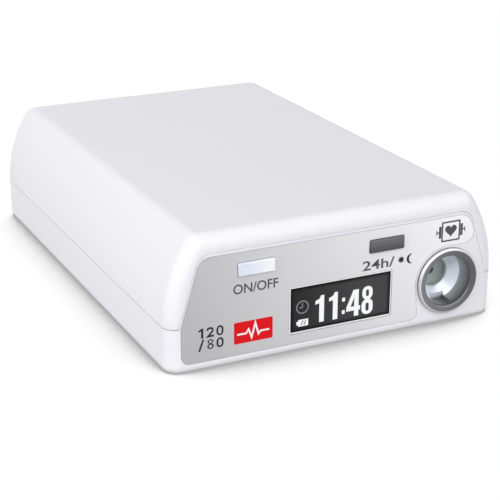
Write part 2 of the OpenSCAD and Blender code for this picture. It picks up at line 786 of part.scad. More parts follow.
// A key cap that goes through the wall, with a rim behind it and a bevelled front
module key(x) {
    on_front(front_y - key_proud + 0.2, key_proud + face_t) polygon(key_points(x, 0));
    on_front(front_y - key_proud, 1) polygon(key_points(x, -0.2));
    on_front(rim_y, key_rim_t) polygon(rounded(box_points(x, key_z, key_w + 2 * key_rim,
        key_h + 2 * key_rim), [for (i = [0 : 3]) key_rim]));
}
module start_key() { color([0.86, 0.92, 0.97]) key(start_x); }
module auto_key() { color(dark) key(auto_x); }

// Tactile switch with a round pocket that its button moves in
module switch(x) {
    along_y(x, key_z) difference() {
        translate([-switch_w / 2, -switch_w / 2, switch_y]) cube([switch_w, switch_w, switch_t]);
        rod(switch_button_r + slide_gap, switch_y - 1, switch_y + switch_t - 0.3);
    }
}
module start_switch() { color(black) switch(start_x); }
module auto_switch() { color(black) switch(auto_x); }
module switch_button(x) {
    along_y(x, key_z) rod(switch_button_r, button_y, switch_y + switch_t - 0.4 - key_travel);
}
module start_switch_button() { color(silver) switch_button(start_x); }
module auto_switch_button() { color(silver) switch_button(auto_x); }

module display_module() {
    color(black) {
        on_front(inner_y + slide_gap, oled_t) translate([display_x, display_z])
            square([oled_w, oled_h], center = true);
        // flat cable that folds round to the board behind
        block([display_x - 5, display_x + 5], [inner_y + slide_gap + oled_t / 2, front_board_y],
            [display_z + oled_h / 2, display_z + oled_h / 2 + 0.3]);
    }
}
module display_holder() {
    color(dark) difference() {
        on_front(inner_y + slide_gap + oled_t, front_board_y - inner_y - slide_gap - oled_t)
            translate([display_x, display_z]) square([oled_w, oled_h], center = true);
        on_front(inner_y, 2 * face_t) translate([display_x, display_z])
            square([oled_w - 4, oled_h - 4], center = true);
    }
}

module front_board() {
    color(green) block([front_board_x0, front_board_x1], [front_board_y, front_board_back],
        [front_board_z, front_board_top]);
}
module main_board() {
    color(green) difference() {
        block([-main_board_x, main_board_x], [main_board_y0, main_board_y1], [board_z, board_top]);
        for (sx = [-1, 1], y = screw_ys) translate([sx * screw_x, y, 0])
            rod(boss_r + board_gap, board_z - 1, board_top + 1);
        for (sx = [-1, 1], y = screw_ys) translate([sx * (screw_x + boss_r), y, 0])
            block([-boss_r - board_gap, boss_r + board_gap], [-boss_r - board_gap, boss_r + board_gap],
            [board_z - 1, board_top + 1]);
        for (p = post_spots) translate([p.x, p.y, 0]) rod(1.1, board_z - 1, board_top + 1);
    }
}
// Row of pins that joins the two boards
module board_header() {
    pins = floor((header_l / pin_pitch - 1) / 2);
    y = main_board_y0 + board_gap;
    color(black) block([-header_l / 2, header_l / 2], [y, y + header_d], [board_top, board_top + header_h]);
    color(brass) for (i = [-pins : pins]) {
        block([pin_pitch * i - pin_t / 2, pin_pitch * i + pin_t / 2], [front_board_back, y],
            [board_top + pin_t, board_top + 2 * pin_t]);
        block([pin_pitch * i - pin_t / 2, pin_pitch * i + pin_t / 2],
            [y + header_d, y + header_d + 3 * pin_t], [board_top, board_top + pin_t]);
    }
}
module board_screws() {
    color(steel) for (p = post_spots) translate([p.x, p.y, 0]) {
        rod(board_screw_r, board_top, board_top + board_screw_h);
        rod(post_hole_r - thread_gap, board_z - post_hole_l + 1, board_top + 0.5);
    }
}

// Parts on the main board
module chip(x, y, w, d, leg) {
    block([x - w / 2, x + w / 2], [y - d / 2, y + d / 2], [board_top, board_top + chip_h]);
    block([x - w / 2 - leg, x + w / 2 + leg], [y - d / 2 + leg, y + d / 2 - leg],
        [board_top, board_top + leg_t]);
}
module microcontroller() { color(black) chip(0, row2_y, chip_w, chip_w, chip_leg); }
module memory_chip() { color(black) chip(memory_x, row2_y, memory_w, memory_l, chip_leg); }
module crystal() {
    color(silver) translate([crystal_x, row2_y, 0]) {
        for (sx = [-1, 1]) translate([sx * crystal_l / 2, 0, 0])
            rod(crystal_r, board_top, board_top + crystal_h);
        block([-crystal_l / 2, crystal_l / 2], [-crystal_r, crystal_r], [board_top, board_top + crystal_h]);
    }
}
module capacitors() {
    color([0.75, 0.6, 0.2]) for (i = [-2 : 1]) translate([i * capacitor_pitch, row3_y, 0])
        block([0, capacitor_w], [-capacitor_l / 2, capacitor_l / 2], [board_top, board_top + capacitor_h]);
}
module buzzer() {
    color(black) translate([buzzer_x, row1_y, 0]) difference() {
        rod(buzzer_r, board_top, board_top + buzzer_h);
        rod(air_r, board_top + buzzer_h / 2, board_top + buzzer_h + 1);
    }
}
module clock_cell() {
    color(silver) translate([clock_x, row1_y, 0]) {
        rod(clock_r - leg_t, board_top, board_top + clock_h / 5);
        rod(clock_r, board_top + clock_h / 5, board_top + clock_h);
    }
}
module data_socket() {
    color(steel) translate([usb_x, back_y - wall - seat, board_top]) difference() {
        block([-usb_w / 2, usb_w / 2], [-usb_l, 0], [0, usb_h]);
        difference() {
            block([-usb_w / 2 + 0.3, usb_w / 2 - 0.3], [-usb_l + 0.6, 1], [0.3, usb_h - 0.3]);
            block([-usb_w / 2 + 1.3, usb_w / 2 - 1.3], [-usb_l, -0.8], [usb_h / 2 - 0.1, usb_h / 2 + 0.5]);
        }
    }
}

// Metal air socket: one turned piece, drawn as its half section, with a keyway for the plug
module air_socket() {
    color(chrome) difference() {
        along_y(socket_x, socket_z) rotate_extrude() polygon(concat([
            [air_r, pocket_end], [pocket_r, pocket_end], [pocket_r, pocket_y], [entry_r, funnel_y],
            [entry_r, entry_y], [ring_r, flange_y], [flange_r, flange_y + flange_r - ring_r],
            [flange_r, front_y - gasket_t], [barrel_r, front_y - gasket_t], [barrel_r, barrel_end],
            [tail_r - 0.25, barrel_end]], barbs(barrel_end + 0.8, tail_end), [[air_r, tail_end]]));
        block([socket_x - keyway_w / 2, socket_x + keyway_w / 2], [flange_y - 1, funnel_y],
            [socket_z - entry_r - keyway_d, socket_z - entry_r / 2]);
    }
}
// Saw-toothed outline of a hose tail
function barbs(y0, y1) = [for (i = [0 : 2]) let (y = y0 + i * (y1 - y0) / 3) each
    [[tail_r - 0.25, y], [tail_r, y], [tail_r - 0.25, y0 + (i + 1) * (y1 - y0) / 3]]];
module socket_gasket() {
    color(dark) along_y(socket_x, socket_z) difference() {
        rod(flange_r, front_y - gasket_t, front_y);
        rod(barrel_r + seat, front_y - 1, front_y + 1);
    }
}
module socket_nut() {
    color(brass) along_y(socket_x, socket_z) difference() {
        translate([0, 0, inner_y]) cylinder(r = nut_corner, h = nut_t, $fn = 6);
        rod(barrel_r + thread_gap, inner_y - 1, inner_y + nut_t + 1);
    }
}

// Silicone tubes
module tube_solid(r) {
    along_y(socket_x, socket_z) rod(r, barrel_end + 2 * tube_gap, manifold_y - bend_r);
    translate([socket_x - bend_r, manifold_y - bend_r, socket_z])
        rotate_extrude(angle = 90) translate([bend_r, 0]) circle(r);
    along_x(manifold_y, socket_z) rod(r, manifold_x1 + 2 * tube_gap, socket_x - bend_r);
}
module socket_tube() {
    color(clear) difference() {
        tube_solid(tube_r);
        tube_solid(tail_r + tube_gap);
    }
}
module sleeve(z0, z1) {
    difference() {
        rod(tube_r, z0, z1);
        rod(tail_r + tube_gap, z0 - 1, z1 + 1);
    }
}
module pump_tube() {
    color(clear) along_y(outlet_x, socket_z)
        sleeve(manifold_y + manifold_d / 2 + seat, pump_front - seat);
}
module valve_tube() {
    color(clear) along_y(valve_port_x, socket_z)
        sleeve(manifold_y + manifold_d / 2 + seat, pump_front - seat);
}
module sensor_tubes() {
    color(clear) for (x = sensor_x) translate([x, manifold_y, 0])
        sleeve(manifold_top + seat, sensor_bottom - seat);
}

// Plastic block that joins the socket, the pump, the valve and the two sensors
module air_manifold() {
    color(white) difference() {
        union() {
            block([manifold_x0, manifold_x1], [manifold_y - manifold_d / 2, manifold_y + manifold_d / 2],
                [socket_z - manifold_h / 2, manifold_top]);
            along_x(manifold_y, socket_z) rod(tail_r, manifold_x1 - 1, manifold_x1 + tail_l);
            for (x = [outlet_x, valve_port_x]) along_y(x, socket_z)
                rod(tail_r, manifold_y, manifold_y + manifold_d / 2 + tail_l);
            for (x = sensor_x) translate([x, manifold_y, 0]) rod(tail_r, socket_z, manifold_top + sensor_nip);
        }
        along_x(manifold_y, socket_z) rod(air_r, manifold_x0 + 2, manifold_x1 + tail_l + 1);
        for (x = [outlet_x, valve_port_x]) along_y(x, socket_z)
            rod(port_r, manifold_y, manifold_y + manifold_d / 2 + tail_l + 1);
        for (x = sensor_x) translate([x, manifold_y, 0]) rod(port_r, socket_z, manifold_top + sensor_nip + 1);
    }
}
module sensor(x) {
    difference() {
        union() {
            block([x - sensor_w / 2, x + sensor_w / 2],
                [manifold_y - sensor_w / 2, manifold_y + sensor_w / 2], [sensor_bottom, board_z]);
            translate([x, manifold_y, 0]) rod(tail_r, sensor_bottom - sensor_nip, sensor_bottom + 1);
        }
        translate([x, manifold_y, 0]) rod(air_r, sensor_bottom - 2, sensor_bottom + 2);
    }
}
module pressure_sensor() { color(dark) sensor(sensor_x[0]); }
module safety_sensor() { color(dark) sensor(sensor_x[1]); }

// Diaphragm pump: a crank on the motor's shaft rocks the wobble plate, which works the
// three cups of the diaphragm against the end plate
module head_outline() { square([head_w, head_w], center = true); }
module pump_head() {
    color([0.85, 0.85, 0.8]) difference() {
        along_x(pump_y, pump_z) translate([0, 0, motor_x1]) linear_extrude(head_body_l) head_outline();
        along_x(pump_y, pump_z) {
            rod(head_w / 2 - head_wall, motor_x1 + head_wall / 2, head_x1 + 1);
            rod(2 * shaft_r, motor_x1 - 1, head_x1);
        }
    }
}
module pump_diaphragm() {
    color(dark) along_x(pump_y, pump_z) {
        translate([0, 0, head_x1]) linear_extrude(diaphragm_t) head_outline();
        for (a = [0, 120, 240]) rotate([0, 0, a]) translate([3.6, 0, 0])
            rod(1.2, plate_x + 1, head_x1 + diaphragm_t / 2);
    }
}
module pump_end_plate() {
    color([0.85, 0.85, 0.8]) difference() {
        union() {
            along_x(pump_y, pump_z) translate([0, 0, head_x1 + diaphragm_t])
                linear_extrude(pump_x1 - head_x1 - diaphragm_t) head_outline();
            along_y(outlet_x, socket_z) rod(tail_r, pump_front - tail_l, pump_y);
        }
        along_y(outlet_x, socket_z) rod(air_r, pump_front - tail_l - 1, pump_y);
        along_x(pump_y + inlet_off, pump_z + inlet_off) rod(air_r, pump_x1 - 2, pump_x1 + 1);
    }
}
module pump_wobble_plate() {
    color(white) along_x(pump_y, pump_z) difference() {
        union() {
            rod(plate_r, plate_x, plate_x + plate_t);
            rod(crank + crank_pin_r + hub_wall, plate_x - plate_t, plate_x);
        }
        rod(crank + crank_pin_r + pin_gap, plate_x - 2 * plate_t, plate_x + 2 * plate_t);
    }
}
module pump_crank() {
    color(white) along_x(pump_y, pump_z) {
        difference() {
            rod(crank_r, crank_x, crank_x + crank_l);
            rod(shaft_r + shaft_gap, crank_x - 1, crank_x + crank_l - crank_web + shaft_gap);
        }
        translate([crank, 0, 0]) rod(crank_pin_r, crank_x + crank_l - crank_web + 2 * shaft_gap, plate_x + plate_t / 2);
    }
}

// Motor
module motor_can() {
    color(steel) along_x(pump_y, pump_z) rotate_extrude() polygon([
        [shaft_r + shaft_gap, motor_x0 - 1.2], [2.2, motor_x0 - 1.2], [2.2, motor_x0],
        [motor_r - 0.5, motor_x0], [motor_r, motor_x0 + 0.5], [motor_r, motor_x1],
        [motor_r - can_t, motor_x1], [motor_r - can_t, motor_x0 + can_t],
        [shaft_r + shaft_gap, motor_x0 + can_t]]);
}
module motor_magnets() {
    color(dark) along_x(pump_y, pump_z) for (a = [-55, 125]) rotate([0, 0, a]) rotate_extrude(angle = 110)
        translate([motor_r - can_t - seat - magnet_t, motor_x0 + magnet_end])
        square([magnet_t, motor_l - 2 * magnet_end]);
}
module motor_end_cap() {
    color(white) along_x(pump_y, pump_z) difference() {
        rod(motor_r - can_t, motor_x1 - cap_t, motor_x1);
        rod(shaft_r + shaft_gap, motor_x1 - cap_t - 1, motor_x1 + 1);
    }
}
module motor_rotor() {
    color(copper) along_x(pump_y, pump_z) {
        rod(shaft_r, motor_x0 - 1.5, crank_x + crank_l - crank_web);
        rod(winding_r, motor_x0 + magnet_end, motor_x1 - magnet_end);
        difference() {
            rod(core_r, motor_x0 + magnet_end + 1, motor_x1 - magnet_end - 1);
            for (a = [0, 120, 240]) rotate([0, 0, a]) translate([0, 0, motor_x0])
                block([winding_r - 1.2, motor_r], [-slot_w / 2, slot_w / 2], [0, motor_l]);
        }
        rod(winding_r / 2, motor_x1 - magnet_end, motor_x1 - cap_t - 0.6);
    }
}
module motor_dampers() {
    spots = [motor_x0 + damper_in, motor_x1 - damper_in - damper_l];
    color(black) along_x(pump_y, pump_z) for (x = spots) difference() {
        rod(motor_r + damper_t, x, x + damper_l);
        rod(motor_r, x - 1, x + damper_l + 1);
    }
}

// Solenoid exhaust valve: the plunger stands off its seat until the coil pushes it home
module valve_block() {
    color(white) difference() {
        union() {
            block([valve_x0, valve_x0 + valve_block_l], [valve_y - valve_w / 2, valve_y + valve_w / 2],
                [socket_z - valve_w / 2, socket_z + valve_w / 2]);
            along_y(valve_port_x, socket_z) rod(tail_r, pump_front - tail_l, valve_y - plunger_r - 1);
        }
        along_x(valve_y, socket_z) {
            rod(plunger_r + 0.6, valve_x0 + 1, valve_x0 + valve_block_l + 1);
            rod(air_r, valve_x0 - 1, valve_x0 + 2);
        }
        along_y(valve_port_x, socket_z) rod(air_r, pump_front - tail_l - 1, valve_y);
    }
}
module valve_coil() {
    color(copper) along_x(valve_y, socket_z) difference() {
        rod(valve_w / 2 - yoke_t - seat, coil_x0, coil_x1);
        rod(plunger_r + plunger_gap, coil_x0 - 1, coil_x1 + 1);
    }
}
module valve_yoke() {
    color(steel) difference() {
        block([coil_x0 - yoke_t, coil_x1 + yoke_t], [valve_y - valve_w / 2, valve_y + valve_w / 2],
            [socket_z - valve_w / 2, socket_z + valve_w / 2]);
        block([coil_x0, coil_x1], [valve_y - valve_w, valve_y + valve_w],
            [socket_z - valve_w / 2 + yoke_t, socket_z + valve_w]);
        along_x(valve_y, socket_z) rod(plunger_r + plunger_gap, coil_x0 - 2, coil_x1 + 2);
    }
}
module valve_core() {
    color(steel) along_x(valve_y, socket_z) rod(plunger_r + plunger_gap - 0.02, core_x, coil_x1 + yoke_t + 0.4);
}
module valve_plunger() {
    color(silver) along_x(valve_y, socket_z) {
        rod(plunger_r, plunger_x0 + 0.8, plunger_x0 + plunger_l);
        rod(plunger_r - 0.4, plunger_x0, plunger_x0 + 1);
    }
}

// Cells and their contacts
module cell(x0) {
    rotate_extrude() polygon([[0, x0], [cell_r - 0.5, x0], [cell_r, x0 + 0.5],
        [cell_r, x0 + cell_l - 0.5], [cell_r - 0.5, x0 + cell_l], [nub_r, x0 + cell_l],
        [nub_r, x0 + cell_l + nub_l], [0, x0 + cell_l + nub_l]]);
}
module front_cell() { color(dark) along_x(front_cell_y, cell_z) cell(cell_x0); }
module rear_cell() { color(dark) mirror([1, 0, 0]) along_x(rear_cell_y, cell_z) cell(cell_x0); }
module contact_plate(y0, y1, tab_y) {
    block([-bay_x, -bay_x + contact_t], [y0 - contact_w / 2, y1 + contact_w / 2],
        [cell_z - contact_w / 2, cell_z + contact_w / 2]);
    block([-bay_x, -bay_x + contact_t], [tab_y - tab_w + cell_gap, tab_y + tab_w - cell_gap],
        [cell_z, board_z]);
}
module negative_contact() { color(silver) contact_plate(front_cell_y, front_cell_y, front_cell_y); }
module positive_contact() { color(silver) contact_plate(rear_cell_y, rear_cell_y, rear_cell_y); }
module bridge_contact() {
    color(silver) mirror([1, 0, 0]) contact_plate(front_cell_y, rear_cell_y, rear_cell_y);
}
// Conical spring of round wire: each ring of the tube is worked out from its turn
spring_n = spring_turns * spring_steps;
function coil_point(i, dr, dz) = let (a = 360 * i / spring_steps, u = i / spring_n)
    let (r = spring_r1 + (spring_r2 - spring_r1) * u + dr)
    [r * cos(a), r * sin(a), wire_r + (spring_l - 2 * wire_r) * u + dz];
module spring() {
    points = [for (i = [0 : spring_n], j = [0 : 5])
        coil_point(i, wire_r * cos(60 * j), wire_r * sin(60 * j))];
    sides = [for (i = [0 : spring_n - 1], j = [0 : 5]) let (k = 6 * i + j, m = 6 * i + (j + 1) % 6) each
        [[k, k + 6, m + 6], [k, m + 6, m]]];
    polyhedron(points, concat(sides, [[0, 1, 2, 3, 4, 5], [for (j = [5 : -1 : 0]) 6 * spring_n + j]]));
}
module battery_springs() {
    apart = [for (i = [0 : spring_n], j = [i + spring_steps / 2 : spring_n])
        norm(coil_point(i, 0, 0) - coil_point(j, 0, 0))];
    echo(least_gap_between_turns = min(apart) - 2 * wire_r);
    color(silver) along_x(front_cell_y, cell_z) translate([0, 0, -bay_x + contact_t]) spring();
    color(silver) mirror([1, 0, 0]) along_x(rear_cell_y, cell_z)
        translate([0, 0, -bay_x + contact_t]) spring();
}

module case_screws() {
    color(steel) for (sx = [-1, 1], y = screw_ys) translate([sx * screw_x, y, 0]) difference() {
        union() {
            rod(screw_head_r, screw_sink, screw_sink + screw_head_h);
            rod(screw_r, screw_sink + screw_head_h / 2, screw_top);
        }
        for (a = [0, 90]) rotate([0, 0, a]) block([-1.2, 1.2], [-0.25, 0.25], [0, screw_sink + 0.8]);
    }
}

upper_case();
lower_case();
battery_cover();
front_label();
display_window();
start_key();
auto_key();
start_switch();
auto_switch();
start_switch_button();
auto_switch_button();
display_module();
display_holder();
front_board();
main_board();
board_header();
board_screws();
microcontroller();
memory_chip();
crystal();
capacitors();
buzzer();
clock_cell();
data_socket();
air_socket();
socket_gasket();
socket_nut();
socket_tube();
air_manifold();
pump_tube();
valve_tube();
sensor_tubes();
pressure_sensor();
safety_sensor();
pump_head();
pump_end_plate();
pump_diaphragm();
pump_wobble_plate();
motor_can();
motor_magnets();
motor_end_cap();
motor_rotor();
pump_crank();
motor_dampers();
valve_block();
valve_coil();
valve_yoke();
valve_core();
valve_plunger();
front_cell();
rear_cell();
negative_contact();
positive_contact();
bridge_contact();
battery_springs();
case_screws();
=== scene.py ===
# %% [markdown]
# # Ambulatory blood pressure monitor
# A pocket recorder in two white mouldings, with a silver front panel, two keys, a small
# display and a metal air socket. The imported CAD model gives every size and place. This
# lesson dresses it: smooth mouldings with true edge radii, printed signs and materials.

# %% Load the frame
import json
import math

import bmesh
import bpy
import numpy as np
from mathutils import Euler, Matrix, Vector
from mathutils.geometry import tessellate_polygon


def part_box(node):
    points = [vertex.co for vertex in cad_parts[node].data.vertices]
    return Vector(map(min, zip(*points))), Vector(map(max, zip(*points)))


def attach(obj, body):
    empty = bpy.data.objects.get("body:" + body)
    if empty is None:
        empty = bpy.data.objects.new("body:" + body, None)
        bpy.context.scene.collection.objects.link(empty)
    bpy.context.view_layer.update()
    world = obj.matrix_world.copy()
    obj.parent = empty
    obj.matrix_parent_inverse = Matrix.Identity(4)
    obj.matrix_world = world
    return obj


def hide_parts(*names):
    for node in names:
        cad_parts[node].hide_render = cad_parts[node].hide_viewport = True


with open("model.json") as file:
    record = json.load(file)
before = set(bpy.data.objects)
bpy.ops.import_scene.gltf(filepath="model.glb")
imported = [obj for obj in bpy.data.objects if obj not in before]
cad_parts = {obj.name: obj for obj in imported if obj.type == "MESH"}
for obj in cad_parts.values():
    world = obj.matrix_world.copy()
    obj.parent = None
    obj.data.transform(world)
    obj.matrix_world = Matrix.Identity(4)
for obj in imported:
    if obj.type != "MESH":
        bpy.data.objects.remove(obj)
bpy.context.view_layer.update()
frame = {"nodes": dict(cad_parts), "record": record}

MM = 0.001

# %% [markdown]
# ## Driving sizes
# The upper case's own box gives the width, the length, the height and the height of the
# parting line. What the box can't give is named once here, in millimetres, as the CAD has
# it. Only the keys' corners and the joints of the mouldings are drawn as the photograph
# shows them.

# %% Driving sizes in millimetres
upper_lo, upper_hi = (np.array(corner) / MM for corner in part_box("upper_case"))
HALF_W, BACK, TOP = upper_hi
FRONT, PART = upper_lo[1], upper_lo[2]
SIDE_R = 26.8  # leaning sides, above the parting line
ROUND = 2.75  # top edges and upright corners
BASE_R = 1.2  # bottom edge
WALL = 1.8
FACE_T = 2.0  # front wall
ARCH_W = 61.9  # arch of the front wall, at the parting line
ARCH_TOP = 21.25
ARCH_LEAN = math.radians(16.6)
ARCH_R = 3.0
ARCH_GAP = 0.06  # joint round the arch
PART_GAP = 0.17  # groove below the parting line
SOCKET = np.array([22.6, 8.3])  # axis of the air socket, in X and Z
WINDOW = (0.4, 7.85, 20.8, 8.9)  # middle in X and Z, width and height
START_X = -16.4
AUTO_X = 9.5
KEY_Z = 17.45
KEY_W = 7.0
KEY_H = 2.4
KEY_R = 0.2
print("front", FRONT, "back", BACK, "parting line", PART)

# %% [markdown]
# ## Camera
# The photograph's lens and stand were found from the housing's edges. The camera is placed
# with a position and three turns, and keeps the photograph's square frame.

# %% Camera
camera = bpy.data.objects.new("camera", bpy.data.cameras.new("camera"))
bpy.context.scene.collection.objects.link(camera)
camera.location = (-0.11331, -0.24737, 0.10495)
camera.rotation_euler = Euler([math.radians(a) for a in (69.2078, -0.0446, -25.5399)])
camera.data.sensor_width = 36
camera.data.lens = 100.48
camera.data.clip_start = 0.01
bpy.context.scene.camera = camera
print("camera", round(camera.location.length, 3), "m from the base's middle")

# %% [markdown]
# ## Floor and light
# A product on white stands on a sweep that is much brighter than the object. To keep the
# object at a plain level, the floor and the world look white only to rays that show them to
# the eye, and give soft, even light otherwise. Small helpers build such node trees.

# %% Helpers for node trees
def node_tree(name):
    """A new material and its nodes, emptied, with an output."""
    material = bpy.data.materials.new(name)
    material.use_nodes = True
    tree = material.node_tree
    tree.nodes.clear()
    return material, tree, tree.nodes.new("ShaderNodeOutputMaterial")


def feed(tree, value, place):
    """Joins a socket to an input, or puts a number or a colour into it."""
    if isinstance(value, bpy.types.NodeSocket):
        tree.links.new(value, place)
    else:
        place.default_value = (*value, 1) if isinstance(value, tuple) else value


def add_node(tree, kind, group=None, **inputs):
    """A new shader node, or a group's node. Each further argument fills the input of its
    name, with _ for a space."""
    node = tree.nodes.new("ShaderNode" + kind)
    if group:
        node.node_tree = group
    for label, value in inputs.items():
        feed(tree, value, node.inputs[label.replace("_", " ")])
    return node


def calculate(tree, operation, first, second):
    """The result of a Math node; each input is a number or a socket."""
    node = add_node(tree, "Math")
    node.operation = operation
    feed(tree, first, node.inputs[0])
    feed(tree, second, node.inputs[1])
    return node.outputs[0]


def seen(tree):
    """1 for rays that show a surface to the eye, straight, by a gloss or through glass."""
    path = add_node(tree, "LightPath").outputs
    bent = calculate(tree, "MAXIMUM", path["Is Glossy Ray"], path["Is Transmission Ray"])
    return calculate(tree, "MAXIMUM", path["Is Camera Ray"], bent)


# %% [markdown]
# The floor is a flat square. Its contact shadow comes from Ambient Occlusion, the share of
# the sky that near pieces hide, because that is the same from every side. A share of the
# lamps' own light is mixed in, which adds their faint cast shadows.

# %% Floor
FLOOR_HALF = 3.0  # metres, as are the other lengths in this cell
FLOOR_Z = -0.00002
NEAR = 0.022  # reach of the contact shadow
FADE = 5.6  # how quickly it fades
DARK = 0.66  # how dark it is at the contact
WHITE = 1.07  # the open floor, before the shadow is taken off
EYE_SHARE = 0.92  # share of the floor's tone that the lamps don't change
CLEAR = 0.0015  # light shorter than this passes the floor


def mix_shaders(tree, mask, first, second):
    """The first node's surface where the mask is 0, and the second's where it is 1."""
    mix = add_node(tree, "MixShader", Fac=mask)
    tree.links.new(first.outputs[0], mix.inputs[1])
    tree.links.new(second.outputs[0], mix.inputs[2])
    return mix


def make_floor():
    """The eye sees the floor as WHITE - DARK (2 (1 - AO)) ** FADE, where AO is the open share
    of the sky within NEAR. It is clear from below, and to light that left the underside
    within CLEAR, so that the underside can be looked at as well."""
    mesh = bpy.data.meshes.new("floor")
    corners = [(x * FLOOR_HALF, y * FLOOR_HALF, FLOOR_Z) for x, y in ((-1, -1), (1, -1), (1, 1), (-1, 1))]
    mesh.from_pydata(corners, [], [(0, 1, 2, 3)])
    floor = bpy.data.objects.new("floor", mesh)
    bpy.context.scene.collection.objects.link(floor)
    material, tree, out = node_tree("floor_white")
    open_sky = add_node(tree, "AmbientOcclusion", Distance=NEAR).outputs["AO"]
    closed = calculate(tree, "MULTIPLY", calculate(tree, "SUBTRACT", 1.0, open_sky), 2.0)
    closed = calculate(tree, "MINIMUM", closed, 1.0)
    shade = calculate(tree, "MULTIPLY", calculate(tree, "POWER", closed, FADE), DARK)
    glow = add_node(tree, "Emission", Strength=calculate(tree, "SUBTRACT", WHITE, shade))
    share = calculate(tree, "MULTIPLY", seen(tree), EYE_SHARE)
    above = mix_shaders(tree, share, add_node(tree, "BsdfDiffuse", Color=(0.6, 0.6, 0.61)), glow)
    path = add_node(tree, "LightPath").outputs
    close = calculate(tree, "LESS_THAN", path["Ray Length"], CLEAR)
    close = calculate(tree, "GREATER_THAN", calculate(tree, "SUBTRACT", close, path["Is Camera Ray"]), 0.5)
    clear = calculate(tree, "MAXIMUM", add_node(tree, "NewGeometry").outputs["Backfacing"], close)
    surface = mix_shaders(tree, clear, above, add_node(tree, "BsdfTransparent"))
    tree.links.new(surface.outputs[0], out.inputs["Surface"])
    mesh.materials.append(material)
    return floor


print("floor", make_floor().name, 2 * FLOOR_HALF, "m wide")

# %% [markdown]
# The world gives a weak light from all round, and more from below, which only the underside
# meets. Four soft boxes do the rest: far ones, which light every part of the case alike,
# and a near one on the left, whose light falls off towards the right.

# %% World and lamps
AIM = Vector((-0.02, 0, 0.012))  # the lamps point here


def make_world(above, below):
    """Even light of two strengths, from above the floor and from below it, and plain white
    where the eye sees it."""
    world = bpy.data.worlds.new("studio")
    bpy.context.scene.world = world
    world.use_nodes = True
    tree = world.node_tree
    background = tree.nodes["Background"]
    background.inputs["Color"].default_value = (1, 1, 1, 1)
    split = add_node(tree, "SeparateXYZ", Vector=add_node(tree, "TexCoord").outputs["Generated"])
    low = calculate(tree, "LESS_THAN", split.outputs["Z"], -0.01)
    light = calculate(tree, "ADD", calculate(tree, "MULTIPLY", low, below - above), above)
    strength = add_node(tree, "Mix", Factor=seen(tree), A=light, B=1.0)
    tree.links.new(strength.outputs["Result"], background.inputs["Strength"])


def lamp(name, kind, place, size, power):
    """A soft box. A SUN is far away in the direction of place, and size is the angle that it
    fills, in degrees. An AREA stands at place, size metres square, and faces the object."""
    light = bpy.data.objects.new(name, bpy.data.lights.new(name, kind))
    bpy.context.scene.collection.objects.link(light)
    if kind == "SUN":
        light.data.angle = math.radians(size)
    else:
        light.data.size = size
        light.visible_camera = False
    light.data.energy = power
    light.location = place
    light.rotation_euler = (AIM - Vector(place)).to_track_quat("-Z", "Y").to_euler()


make_world(0.12, 0.6)
lamp("left_box", "SUN", (-0.83, 0.0, 0.555), 75, 0.8)
lamp("front_box", "SUN", (0.21, -0.84, 0.5), 75, 1.88)
lamp("top_box", "SUN", (0.0, 0.0, 1.0), 75, 0.28)
lamp("near_box", "AREA", (-0.38, -0.13, 0.27), 0.3, 0.95)
bpy.context.scene.view_settings.view_transform = "Standard"
print("lamps", len(bpy.data.lights))

# %% [markdown]
# ## Surfaces from numbers
# Every new piece starts as arrays of points. A grid of points becomes a skin of four-sided
# faces, an outline becomes a slab, and a profile turned about an axis becomes a turned part.

# %% Arrays into meshes
PER_MM = np.float32(1) / np.float32(MM)  # millimetres in a metre, in a mesh's own precision


def put_mesh(name, points, faces):
    """A new object, in metres, from an (n, 3) array in millimetres and a list of faces. Points
    that fall together are merged, and the faces are turned outwards."""
    mesh = bpy.data.meshes.new(name)
    mesh.from_pydata((np.asarray(points, float) * MM).tolist(), [], [tuple(map(int, f)) for f in faces])
    piece = bpy.data.objects.new(name, mesh)
    bpy.context.scene.collection.objects.link(piece)
    work = bmesh.new()
    work.from_mesh(mesh)
    bmesh.ops.remove_doubles(work, verts=work.verts, dist=1e-7)
    bmesh.ops.recalc_face_normals(work, faces=work.faces)
    work.to_mesh(mesh)
    work.free()
    return piece


def mesh_points(mesh):
    """A mesh's points as an (n, 3) array, in the mesh's own unit and precision."""
    flat = np.empty(len(mesh.vertices) * 3, np.float32)
    mesh.vertices.foreach_get("co", flat)
    return flat.reshape(-1, 3)


def joined(name, pieces):
    """One object from several that don't overlap."""
    points, faces, start = [], [], 0
    for piece in pieces:
        points.append(mesh_points(piece.data) * PER_MM)
        faces += [[i + start for i in polygon.vertices] for polygon in piece.data.polygons]
        start += len(piece.data.vertices)
        bpy.data.objects.remove(piece)
    return put_mesh(name, np.concatenate(points), faces)


# %% [markdown]
# A loft joins closed loops one after another. Most forms here are lofts: a block, a round
# bar and the tray of the lower case differ only in their loops.

# %% Grids and lofts
def grid_faces(rows, columns, wrap):
    """Four-sided faces between neighbouring points of a grid; wrap joins the last column to
    the first."""
    r, c = np.meshgrid(np.arange(rows - 1), np.arange(columns if wrap else columns - 1), indexing="ij")
    r, c = r.ravel(), c.ravel()
    d = (c + 1) % columns
    here, there = r * columns, (r + 1) * columns
    return np.stack([here + c, here + d, there + d, there + c], 1).tolist()


def loft(name, loops):
    """A closed solid from an (m, n, 3) array: m closed loops joined in turn, with flat ends."""
    loops = np.asarray(loops, float)
    m, n, _ = loops.shape
    faces = grid_faces(m, n, True) + [list(range(n)), list(range((m - 1) * n, m * n))]
    return put_mesh(name, loops.reshape(-1, 3), faces)


def box(x, y, z):
    """A plain block between three pairs of limits, used to cut with."""
    loop = np.array([(x[0], y[0]), (x[1], y[0]), (x[1], y[1]), (x[0], y[1])])
    return loft("block", [np.insert(loop, 2, height, axis=1) for height in z])


